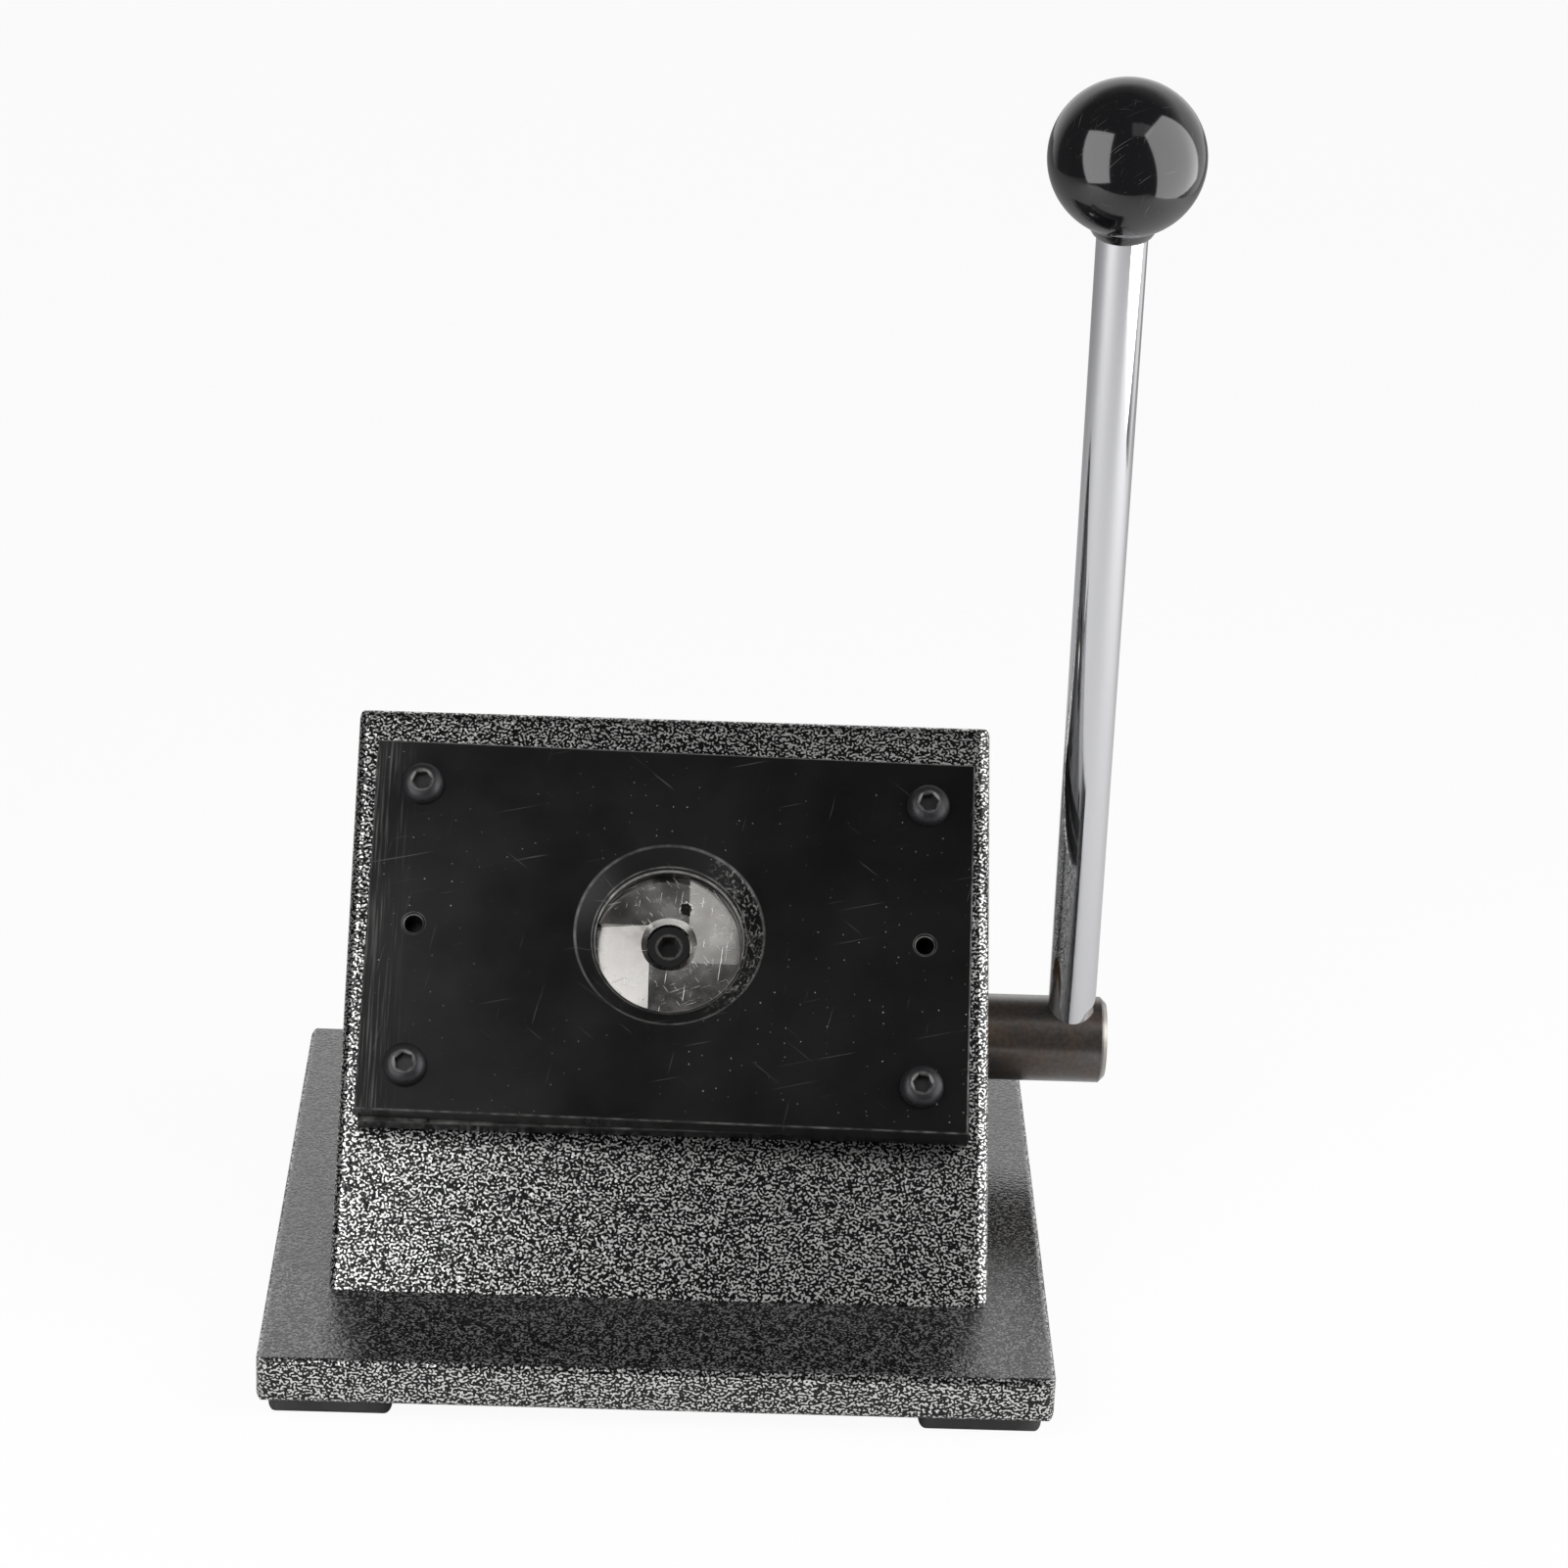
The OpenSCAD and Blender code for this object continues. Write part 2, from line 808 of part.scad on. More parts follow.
module punch() {
    bevel_top = counterbore_d / 2 + counterbore_bevel;
    color("silver")
        on_face()
            difference() {
                translate([0, 0, punch_back_z])
                    cylinder(d = punch_d, h = punch_len);
                translate([0, 0, punch_top_z])
                    shear_cuts();
                rotate_extrude()
                    polygon([
                        [0, screw_seat_z],
                        [counterbore_d / 2, screw_seat_z],
                        [counterbore_d / 2, punch_top_z - counterbore_bevel],
                        [bevel_top + over, punch_top_z + over],
                        [0, punch_top_z + over]
                    ]);
                translate([0, 0, punch_back_z - over])
                    cylinder(d = cap_d + 2 * bolt_fit, h = punch_len);
                translate([0, 0, punch_back_z - over])
                    cylinder(d = spigot_d + 2 * thread_fit, h = spigot_h + bore_gap + over);
            }
}

module punch_screw() {
    color("dimgray")
        on_face()
            translate([0, 0, screw_seat_z])
                cap_screw(cap_d, cap_head_d, cap_head_h, cap_key, cap_key_h, cap_len);
}

module ram() {
    yoke_h = yoke_front_z - yoke_back_z;
    color("slategray")
        on_face()
            difference() {
                union() {
                    translate([0, 0, yoke_front_z - over])
                        cylinder(d = ram_head_d, h = punch_back_z - yoke_front_z + over);
                    translate([0, 0, punch_back_z - over])
                        cylinder(d = spigot_d, h = spigot_h + over);
                    translate([0, 0, yoke_front_z - yoke_h / 2])
                        prism_x(ram_t)
                            bevelled_rect(2 * yoke_half, yoke_h, ram_bevel);
                }
                translate([0, 0, (window_front_z + window_back_z) / 2])
                    cube([ram_head_d + over, 2 * window_half, window_front_z - window_back_z],
                        center = true);
                translate([0, 0, screw_seat_z - cap_len - tip_gap])
                    cylinder(d = cap_d + 2 * thread_fit, h = cap_len);
            }
}

module lever_shaft() {
    color("saddlebrown")
        difference() {
            on_lever()
                along_x()
                    rotate_extrude()
                        polygon([
                            [0, shaft_left_x],
                            [core_d / 2 - shaft_bevel, shaft_left_x],
                            [core_d / 2, shaft_left_x + shaft_bevel],
                            [core_d / 2, shoulder_x],
                            [shaft_d / 2, shoulder_x],
                            [shaft_d / 2, shaft_right_x - shaft_bevel],
                            [shaft_d / 2 - shaft_bevel, shaft_right_x],
                            [0, shaft_right_x]
                        ]);
            on_rod()
                translate([0, 0, -rod_seat])
                    cylinder(d = rod_d + 2 * thread_fit, h = rod_seat + shaft_d);
            on_rod()
                along_x()
                    cylinder(d = grub_d + 2 * thread_fit, h = shaft_over + over);
            eccentric_pin_hole();
        }
}

// Hole of the pin that locks the eccentric, through its thick side and the shaft's core
module eccentric_pin_hole() {
    on_eccentric()
        translate([0, -core_d / 2, 0])
            rotate([-90, 0, 0])
                cylinder(d = ecc_pin_d, h = core_d / 2 + ecc + disc_r + over);
}

module eccentric() {
    color("steelblue")
        difference() {
            on_eccentric()
                translate([0, ecc, 0])
                    along_x()
                        cylinder(r = disc_r, h = ram_t, center = true);
            on_eccentric()
                along_x()
                    cylinder(d = core_d + 2 * slip_fit, h = ram_t + over, center = true);
            eccentric_pin_hole();
        }
}

module eccentric_pin() {
    color("silver")
        on_eccentric()
            translate([0, -core_d / 2, 0])
                rotate([-90, 0, 0])
                    cylinder(d = ecc_pin_d, h = core_d / 2 + ecc + disc_r - ecc_pin_sink);
}

// Plain ring standing on Z = 0
module ring(outside, bore, h) {
    difference() {
        cylinder(d = outside, h = h);
        translate([0, 0, -over])
            cylinder(d = bore, h = h + 2 * over);
    }
}

// Plain bush that fills a side wall and its boss
module bush(bore, outside) {
    ring(outside, bore + 2 * run_fit, side_wall + boss_len);
}

module right_bush() {
    color("peru")
        on_axle()
            translate([boss_x, 0, 0])
                along_x()
                    bush(shaft_d, bush_right_d);
}

module left_bush() {
    color("peru")
        on_axle()
            translate([-wall_x, 0, 0])
                along_x()
                    bush(core_d, bush_left_d);
}

// Flat ring round the shaft
module washer(bore) {
    ring(bore + 2 * washer_lip, bore + 2 * bore_gap, washer_t);
}

module right_thrust_washer() {
    color("goldenrod")
        on_axle()
            translate([boss_x - end_play - washer_t, 0, 0])
                along_x()
                    washer(shaft_d);
}

module left_thrust_washer() {
    color("goldenrod")
        on_axle()
            translate([-boss_x + end_play, 0, 0])
                along_x()
                    washer(core_d);
}

// Frame of the stop pin, lying along X beside the shaft
module at_stop_pin() {
    on_axle()
        rotate([stop_angle, 0, 0])
            translate([0, stop_r, 0])
                along_x()
                    children();
}

module stop_pin() {
    color("silver")
        at_stop_pin()
            translate([0, 0, shoulder_x - collar_w + tip_gap])
                cylinder(d = stop_pin_d, h = boss_x + stop_pin_seat - shoulder_x + collar_w - tip_gap);
}

// Frame of the grub screw in a collar whose middle is at x, with Z out along its radius
module at_collar_screw(x) {
    on_axle()
        translate([x, 0, 0])
            rotate([stop_angle + 90 - half_travel, 0, 0])
                children();
}

module stop_collar() {
    notch_r = stop_r - stop_pin_d / 2 - stop_gap;
    notch_angle = lever_travel + 2 * stop_half_angle;
    color("slategray")
        difference() {
            on_axle()
                translate([shoulder_x - collar_w, 0, 0])
                    along_x()
                        ring(stop_collar_d, core_d + 2 * slip_fit, collar_w);
            on_axle()
                translate([shoulder_x - collar_w - over, 0, 0])
                    rotate([stop_angle + stop_half_angle, 0, 0])
                        along_x()
                            rotate([0, 0, 90])
                                rotate([0, 0, -notch_angle])
                                    rotate_extrude(angle = notch_angle)
                                        translate([notch_r, 0])
                                            square([stop_collar_d, collar_w + 2 * over]);
            at_collar_screw(collar_mid_x)
                cylinder(d = grub_d + 2 * thread_fit, h = stop_collar_d);
        }
}

module stop_collar_screw() {
    color("dimgray")
        at_collar_screw(collar_mid_x)
            grub_screw(core_d / 2, stop_collar_d / 2 - grub_sink);
}

module retaining_collar() {
    color("slategray")
        difference() {
            on_axle()
                translate([-shoulder_x, 0, 0])
                    along_x()
                        ring(core_d + 2 * collar_wall, core_d + 2 * slip_fit, collar_w);
            at_collar_screw(-collar_mid_x)
                cylinder(d = grub_d + 2 * thread_fit, h = core_d + collar_wall);
        }
}

module retaining_collar_screw() {
    color("dimgray")
        at_collar_screw(-collar_mid_x)
            grub_screw(core_d / 2, core_d / 2 + collar_wall - grub_sink);
}

module lever_rod() {
    shoulder_z = lever_len - knob_foot;
    color("gainsboro")
        on_rod()
            rotate_extrude()
                polygon([
                    [0, -rod_seat],
                    [rod_d / 2 - rod_bevel, -rod_seat],
                    [rod_d / 2, -rod_seat + rod_bevel],
                    [rod_d / 2, shoulder_z],
                    [rod_thread_d / 2, shoulder_z],
                    [rod_thread_d / 2, shoulder_z + rod_thread_len - rod_bevel],
                    [rod_thread_d / 2 - rod_bevel, shoulder_z + rod_thread_len],
                    [0, shoulder_z + rod_thread_len]
                ]);
}

module rod_set_screw() {
    color("dimgray")
        on_rod()
            along_x()
                grub_screw(rod_d / 2 + thread_fit, shaft_over - thread_fit);
}

module ball_knob() {
    color("black")
        on_rod()
            translate([0, 0, lever_len])
                difference() {
                    union() {
                        sphere(d = ball_d);
                        translate([0, 0, -knob_foot])
                            cylinder(d1 = knob_end_d, d2 = knob_collar_d + over * collar_slope,
                                h = knob_foot - collar_top + over);
                    }
                    translate([0, 0, -knob_foot - over])
                        cylinder(d = insert_d, h = insert_len + over);
                }
}

module knob_insert() {
    color("goldenrod")
        on_rod()
            translate([0, 0, lever_len - knob_foot])
                difference() {
                    cylinder(d = insert_d, h = insert_len);
                    translate([0, 0, -over])
                        cylinder(d = rod_thread_d + 2 * thread_fit, h = rod_thread_len + over);
                }
}

base_plate();
feet();
foot_screws();
housing();
housing_screws();
guide_plate();
slot_shims();
die_plate();
die_plate_screws();
guide_sleeve();
sleeve_screws();
punch();
punch_screw();
ram();
lever_shaft();
eccentric();
eccentric_pin();
right_bush();
left_bush();
right_thrust_washer();
left_thrust_washer();
stop_collar();
stop_collar_screw();
stop_pin();
retaining_collar();
retaining_collar_screw();
lever_rod();
rod_set_screw();
ball_knob();
knob_insert();
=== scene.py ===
import math

import bmesh
import bpy
from mathutils import Matrix, Vector


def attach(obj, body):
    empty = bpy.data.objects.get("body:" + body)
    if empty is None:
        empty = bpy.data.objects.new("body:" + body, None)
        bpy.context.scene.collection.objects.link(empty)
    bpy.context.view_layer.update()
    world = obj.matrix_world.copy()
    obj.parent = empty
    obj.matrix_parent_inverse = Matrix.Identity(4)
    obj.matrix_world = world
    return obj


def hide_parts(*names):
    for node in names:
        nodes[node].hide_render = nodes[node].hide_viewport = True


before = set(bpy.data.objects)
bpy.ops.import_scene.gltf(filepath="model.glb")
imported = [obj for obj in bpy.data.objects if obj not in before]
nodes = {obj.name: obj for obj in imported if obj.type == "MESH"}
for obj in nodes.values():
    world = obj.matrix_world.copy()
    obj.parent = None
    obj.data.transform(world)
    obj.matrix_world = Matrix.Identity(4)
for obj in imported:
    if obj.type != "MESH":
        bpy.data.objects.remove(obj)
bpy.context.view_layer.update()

# Rubber feet
# Four square pads moulded in black rubber, screwed up into the base plate. Moulded rubber is
# matt and faintly dusty, with a fine even grain from the mould.

MM = 0.001


def linear(code):
    """Linear colour from an sRGB hex code."""
    parts = [int(code[i:i + 2], 16) / 255 for i in (1, 3, 5)]
    return [c / 12.92 if c <= 0.04045 else ((c + 0.055) / 1.055) ** 2.4 for c in parts] + [1.0]


def add_node(tree, kind, settings, inputs):
    """Adds a node, sets or links its inputs by name or number, and gives its outputs.

    A mix node goes by numbers: 6 and 7 are its two colours, and 2 and 3 its two plain values.
    """
    made = tree.nodes.new(kind)
    for name, value in settings.items():
        setattr(made, name, value)
    for key, value in inputs.items():
        if isinstance(value, bpy.types.NodeSocket):
            tree.links.new(value, made.inputs[key])
        else:
            made.inputs[key].default_value = value
    return made.outputs


def new_finish(name):
    """An empty material with its node tree and the object's own coordinates."""
    made = bpy.data.materials.new(name)
    made.use_nodes = True
    made.node_tree.nodes.clear()
    place = add_node(made.node_tree, "ShaderNodeTexCoord", {}, {})["Object"]
    return made, made.node_tree, place


def paint(finish, *names):
    """Gives CAD nodes a finish."""
    for name in names:
        slots = nodes[name].data.materials
        slots.clear()
        slots.append(finish)


rubber, tree, place = new_finish("moulded_rubber")
grain = add_node(tree, "ShaderNodeTexNoise", {}, {
    "Vector": place, "Scale": 1 / (0.8 * MM), "Detail": 3.0})[0]
dust = add_node(tree, "ShaderNodeTexNoise", {}, {
    "Vector": place, "Scale": 1 / (9 * MM), "Detail": 4.0})[0]
dust_share = add_node(tree, "ShaderNodeMapRange", {}, {
    "Value": dust, "From Min": 0.45, "From Max": 0.75, "To Min": 0.0, "To Max": 0.6})[0]
rubber_colour = add_node(tree, "ShaderNodeMix", {"data_type": "RGBA"}, {
    0: dust_share, 6: linear("#222224"), 7: linear("#3c3c3b")})[2]
rubber_bump = add_node(tree, "ShaderNodeBump", {}, {
    "Height": grain, "Strength": 0.3, "Distance": 0.06 * MM})[0]
surface = add_node(tree, "ShaderNodeBsdfPrincipled", {}, {
    "Base Color": rubber_colour, "Roughness": 0.6, "IOR": 1.52, "Normal": rubber_bump})
add_node(tree, "ShaderNodeOutputMaterial", {}, {"Surface": surface["BSDF"]})
paint(rubber, "feet")

# Screws under the base
# Slotted pan-head screws hold the feet, and countersunk hexagon screws hold the housing.
# Zinc plate on steel is pale and a little cloudy, and half dull.

zinc, tree, place = new_finish("zinc_plated_steel")
cloud = add_node(tree, "ShaderNodeTexNoise", {}, {
    "Vector": place, "Scale": 1 / (1.6 * MM), "Detail": 5.0})[0]
zinc_colour = add_node(tree, "ShaderNodeMix", {"data_type": "RGBA"}, {
    0: cloud, 6: linear("#a9aba6"), 7: linear("#d6d5cf")})[2]
zinc_rough = add_node(tree, "ShaderNodeMapRange", {}, {
    "Value": cloud, "From Min": 0.3, "From Max": 0.7, "To Min": 0.26, "To Max": 0.44})[0]
surface = add_node(tree, "ShaderNodeBsdfPrincipled", {}, {
    "Base Color": zinc_colour, "Metallic": 1.0, "Roughness": zinc_rough})
add_node(tree, "ShaderNodeOutputMaterial", {}, {"Surface": surface["BSDF"]})
paint(zinc, "foot_screws", "housing_screws")

# Base plate and housing
# A steel plate and a welded wedge-shaped box, both stoved in silver-vein enamel: a black ground that
# draws the aluminium flake into a fine net as it cures. On the plate's level top the flake is thinned
# out as painted shade, under a clear coat.

BASE_TOP_Z = 15 * MM
NO_LEVEL_TOP = 1.0
VEIN_PITCH, VEIN_SHARE, VEIN_FREQUENCY = 0.85 * MM, -0.02, 1.2
# Share of flake kept on the plate's level top, a painted shade.
TOP_SHADE_FLAKE_SHARE = 0.16


def vein_enamel(name, relief, level_z):
    """Silver-vein enamel: a net of flake over black, thinned out on a level top as painted shade."""
    made, tree, place = new_finish(name)
    net = add_node(tree, "ShaderNodeTexGabor", {"gabor_type": "3D"}, {
        "Vector": place, "Scale": 1 / (VEIN_FREQUENCY * VEIN_PITCH), "Frequency": VEIN_FREQUENCY,
        "Anisotropy": 0.0})["Value"]
    flake = add_node(tree, "ShaderNodeMapRange", {"interpolation_type": "SMOOTHSTEP"}, {
        "Value": net, "From Min": 0.5 - VEIN_SHARE, "From Max": 0.56 - VEIN_SHARE})[0]
    height = add_node(tree, "ShaderNodeSeparateXYZ", {}, {0: place})["Z"]
    level = add_node(tree, "ShaderNodeMapRange", {}, {
        "Value": height, "From Min": level_z - 0.4 * MM, "From Max": level_z - 0.1 * MM})[0]
    # Painted shade: the level top keeps only a small share of its flake, so it comes out darker.
    painted_top_shade = add_node(tree, "ShaderNodeMapRange", {}, {
        "Value": level, "To Min": 1.0, "To Max": TOP_SHADE_FLAKE_SHARE})[0]
    flake = add_node(tree, "ShaderNodeMath", {"operation": "MULTIPLY"}, {0: flake, 1: painted_top_shade})[0]
    peel = add_node(tree, "ShaderNodeTexNoise", {}, {
        "Vector": place, "Scale": 1 / VEIN_PITCH, "Detail": 1.0})[0]
    tone = add_node(tree, "ShaderNodeTexNoise", {}, {
        "Vector": place, "Scale": 1 / (7 * VEIN_PITCH), "Detail": 3.0})[0]
    silver = add_node(tree, "ShaderNodeMix", {"data_type": "RGBA"}, {
        0: tone, 6: linear("#cacac9"), 7: linear("#f0f0ee")})[2]
    colour = add_node(tree, "ShaderNodeMix", {"data_type": "RGBA"}, {
        0: flake, 6: linear("#050506"), 7: silver})[2]
    rough = add_node(tree, "ShaderNodeMapRange", {}, {"Value": flake, "To Min": 0.2, "To Max": 0.3})[0]
    bump = add_node(tree, "ShaderNodeBump", {}, {
        "Height": peel, "Strength": 1.0, "Distance": relief})[0]
    surface = add_node(tree, "ShaderNodeBsdfPrincipled", {}, {
        "Base Color": colour, "Metallic": flake, "Roughness": rough, "IOR": 1.4, "Normal": bump,
        "Coat Weight": level, "Coat Roughness": 0.2, "Coat IOR": 1.7, "Coat Normal": bump})
    add_node(tree, "ShaderNodeOutputMaterial", {}, {"Surface": surface["BSDF"]})
    return made


paint(vein_enamel("silver_vein_enamel_plate", 0.1 * MM, BASE_TOP_Z), "base_plate")
paint(vein_enamel("silver_vein_enamel_housing", 0.08 * MM, NO_LEVEL_TOP), "housing")

# Guide plate, slot strips and die plate
# Two ground steel plates, blackened and oiled, with thin strips between them that leave a slot for the
# paper. Oxide under oil is a soft dark gloss, made stronger to the left as a painted reflection.
# Hairlines, dust and bare edges are drawn as coarse as they need to show; the light lines along the top
# edges are part wear and part painted highlight, and the rings round the spare holes are painted
# highlights.

TILT = math.radians(45)
DIE_SKEW = math.radians(-0.8)
FACE_POINT = Vector((-10.7264, 8.6041, 75.1041)) * MM
PLATE_W, PLATE_H, PLATE_TOP, GUIDE_TOP = 142 * MM, 92 * MM, 11.8 * MM, 5 * MM
SCREWS_ACROSS, SCREWS_UP = 120 * MM, 70 * MM
DIE_EDGE_R, MOUTH_R = 17.5 * MM, 22.2 * MM
SPARE_R, SPARE_MOUTH_R = 2.1 * MM, 2.8 * MM
face_turn = Matrix.Rotation(TILT, 4, "X") @ Matrix.Rotation(DIE_SKEW, 4, "Z")


def blackened_plate(name, top, with_die):
    """Blackened steel, worn along the edges of its top, which also carry a painted highlight, and, on
    the die plate, round the die, with painted highlights round the spare holes.
    """
    made, tree, place = new_finish(name)
    flat = add_node(tree, "ShaderNodeMapping", {"vector_type": "TEXTURE"}, {
        "Vector": place, "Location": FACE_POINT, "Rotation": face_turn.to_euler()})[0]
    across = add_node(tree, "ShaderNodeSeparateXYZ", {}, {0: flat})["X"]
    smear = add_node(tree, "ShaderNodeTexNoise", {}, {
        "Vector": flat, "Scale": 1 / (26 * MM), "Detail": 5.0})[0]
    marks = []
    for angle, length, gap, sparse in ((14, 22, 0.4, 0.75), (78, 16, 0.4, 0.76), (-38, 20, 0.45, 0.76)):
        turned = add_node(tree, "ShaderNodeMapping", {"vector_type": "TEXTURE"}, {
            "Vector": flat, "Rotation": (0, 0, math.radians(angle)),
            "Scale": (length * MM, gap * MM, length * MM)})[0]
        line = add_node(tree, "ShaderNodeTexNoise", {}, {
            "Vector": turned, "Scale": 1.0, "Detail": 1.0})[0]
        marks.append(add_node(tree, "ShaderNodeMapRange", {}, {
            "Value": line, "From Min": sparse, "From Max": sparse + 0.06,
            "To Min": 0.0, "To Max": 0.12})[0])
    hairline = add_node(tree, "ShaderNodeMath", {"operation": "MAXIMUM"}, {0: marks[0], 1: marks[1]})[0]
    hairline = add_node(tree, "ShaderNodeMath", {"operation": "MAXIMUM"}, {0: hairline, 1: marks[2]})[0]
    speck_cell = 3.2 * MM
    uneven = add_node(tree, "ShaderNodeTexNoise", {}, {
        "Vector": flat, "Scale": 1 / (0.4 * MM), "Detail": 2.0})
    uneven = add_node(tree, "ShaderNodeVectorMath", {"operation": "MULTIPLY_ADD"}, {
        0: uneven["Color"], 1: (0.6 * MM, 0.6 * MM, 0.6 * MM), 2: flat})[0]
    speck = add_node(tree, "ShaderNodeTexVoronoi", {"voronoi_dimensions": "2D"}, {
        "Vector": uneven, "Scale": 1 / speck_cell})
    chosen = add_node(tree, "ShaderNodeSeparateColor", {}, {0: speck["Color"]})
    speck_r = add_node(tree, "ShaderNodeMapRange", {}, {
        "Value": chosen[0], "From Min": 0.6, "From Max": 1.0, "To Min": 0.0, "To Max": 0.05})[0]
    dust = add_node(tree, "ShaderNodeMath", {"operation": "LESS_THAN"}, {
        0: speck["Distance"], 1: speck_r})[0]
    swept = add_node(tree, "ShaderNodeMapRange", {}, {
        "Value": smear, "From Min": 0.46, "From Max": 0.62, "To Min": 0.03, "To Max": 0.7})[0]
    dust = add_node(tree, "ShaderNodeMath", {"operation": "MULTIPLY"}, {0: dust, 1: swept})[0]
    wear_and_painted_highlight = add_node(tree, "ShaderNodeMath", {"operation": "MAXIMUM"}, {0: hairline, 1: dust})[0]
    combed = add_node(tree, "ShaderNodeMapping", {}, {
        "Vector": flat, "Scale": (1 / (0.5 * MM), 1 / (18 * MM), 1 / (18 * MM))})[0]
    scuff = add_node(tree, "ShaderNodeTexNoise", {}, {"Vector": combed, "Scale": 1.0, "Detail": 3.0})[0]
    scuff = add_node(tree, "ShaderNodeMapRange", {}, {
        "Value": scuff, "From Min": 0.52, "From Max": 0.72, "To Min": 0.0, "To Max": 0.16})[0]
    on_left = add_node(tree, "ShaderNodeMapRange", {}, {
        "Value": across, "From Min": -61 * MM, "From Max": -68 * MM})[0]
    scuff = add_node(tree, "ShaderNodeMath", {"operation": "MULTIPLY"}, {0: scuff, 1: on_left})[0]
    wear_and_painted_highlight = add_node(tree, "ShaderNodeMath", {"operation": "MAXIMUM"}, {0: wear_and_painted_highlight, 1: scuff})[0]
    ragged = add_node(tree, "ShaderNodeTexNoise", {}, {
        "Vector": flat, "Scale": 1 / (3 * MM), "Detail": 4.0})[0]
    # The light lines along the top edges: part wear, part painted highlight on the edge.
    sides = add_node(tree, "ShaderNodeVectorMath", {"operation": "ABSOLUTE"}, {0: flat})[0]
    sides = add_node(tree, "ShaderNodeSeparateXYZ", {}, {0: sides})
    outer = add_node(tree, "ShaderNodeMapRange", {}, {
        "Value": sides["Z"], "From Min": top - 0.5 * MM, "From Max": top - 0.2 * MM})[0]
    rubbed_and_painted_highlight = add_node(tree, "ShaderNodeMapRange", {}, {
        "Value": ragged, "From Min": 0.4, "From Max": 0.75, "To Min": 0.05, "To Max": 0.35})[0]
    outer = add_node(tree, "ShaderNodeMath", {"operation": "MULTIPLY"}, {0: outer, 1: rubbed_and_painted_highlight})[0]
    for side, half in ((sides["X"], PLATE_W / 2), (sides["Y"], PLATE_H / 2)):
        near = add_node(tree, "ShaderNodeMapRange", {}, {
            "Value": side, "From Min": half - 0.5 * MM, "From Max": half - 0.2 * MM})[0]
        near = add_node(tree, "ShaderNodeMath", {"operation": "MULTIPLY"}, {0: near, 1: outer})[0]
        wear_and_painted_highlight = add_node(tree, "ShaderNodeMath", {"operation": "MAXIMUM"}, {0: wear_and_painted_highlight, 1: near})[0]
    if with_die:
        outward = add_node(tree, "ShaderNodeVectorMath", {"operation": "MULTIPLY"}, {
            0: flat, 1: (1, 1, 0)})[0]
        radius = add_node(tree, "ShaderNodeVectorMath", {"operation": "LENGTH"}, {0: outward})["Value"]
        patchy = add_node(tree, "ShaderNodeMapRange", {}, {
            "Value": ragged, "From Min": 0.35, "From Max": 0.65, "To Min": 0.3, "To Max": 1.0})[0]
        aside = add_node(tree, "ShaderNodeVectorMath", {"operation": "ABSOLUTE"}, {0: outward})[0]
        from_hole = add_node(tree, "ShaderNodeVectorMath", {"operation": "DISTANCE"}, {
            0: aside, 1: (SCREWS_ACROSS / 2, 0, 0)})["Value"]
        # Rings round the die are wear; the two round each spare hole are painted highlights on its
        # thread and countersink edge.
        for distance, ring, faded, bare_and_painted_highlight, share in (
                (radius, MOUTH_R, 0.4 * MM, 0.16 * MM, 0.2),
                (radius, DIE_EDGE_R, 0.3 * MM, 0.12 * MM, 0.8),
                (radius, DIE_EDGE_R + 0.8 * MM, 0.2 * MM, 0.08 * MM, 0.3),
                (from_hole, SPARE_R + 0.2 * MM, 0.14 * MM, 0.04 * MM, 0.5),
                (from_hole, SPARE_MOUTH_R, 0.14 * MM, 0.04 * MM, 0.2)):
            off = add_node(tree, "ShaderNodeMath", {"operation": "SUBTRACT"}, {0: distance, 1: ring})[0]
            off = add_node(tree, "ShaderNodeMath", {"operation": "ABSOLUTE"}, {0: off})[0]
            near = add_node(tree, "ShaderNodeMapRange", {}, {
                "Value": off, "From Min": faded, "From Max": bare_and_painted_highlight, "To Min": 0.0, "To Max": share})[0]
            near = add_node(tree, "ShaderNodeMath", {"operation": "MULTIPLY"}, {0: near, 1: patchy})[0]
            wear_and_painted_highlight = add_node(tree, "ShaderNodeMath", {"operation": "MAXIMUM"}, {0: wear_and_painted_highlight, 1: near})[0]
        fleck = add_node(tree, "ShaderNodeTexNoise", {}, {
            "Vector": flat, "Scale": 1 / (1.5 * MM), "Detail": 4.0, "Distortion": 1.5})[0]
        fleck = add_node(tree, "ShaderNodeMapRange", {}, {
            "Value": fleck, "From Min": 0.53, "From Max": 0.64, "To Min": 0.0, "To Max": 0.5})[0]
        in_mouth = add_node(tree, "ShaderNodeMath", {"operation": "LESS_THAN"}, {
            0: radius, 1: MOUTH_R})[0]
        on_right = add_node(tree, "ShaderNodeMapRange", {}, {
            "Value": across, "From Min": 8 * MM, "From Max": 17 * MM})[0]
        fleck = add_node(tree, "ShaderNodeMath", {"operation": "MULTIPLY"}, {0: fleck, 1: in_mouth})[0]
        fleck = add_node(tree, "ShaderNodeMath", {"operation": "MULTIPLY"}, {0: fleck, 1: on_right})[0]
        wear_and_painted_highlight = add_node(tree, "ShaderNodeMath", {"operation": "MAXIMUM"}, {0: wear_and_painted_highlight, 1: fleck})[0]
    colour = add_node(tree, "ShaderNodeMix", {"data_type": "RGBA"}, {
        0: wear_and_painted_highlight, 6: linear("#0a0a0b"), 7: linear("#a5a4a1")})[2]
    metal = add_node(tree, "ShaderNodeMath", {"operation": "MULTIPLY"}, {0: wear_and_painted_highlight, 1: 0.7})[0]
    rough = add_node(tree, "ShaderNodeMapRange", {}, {
        "Value": smear, "From Min": 0.3, "From Max": 0.7, "To Min": 0.26, "To Max": 0.42})[0]
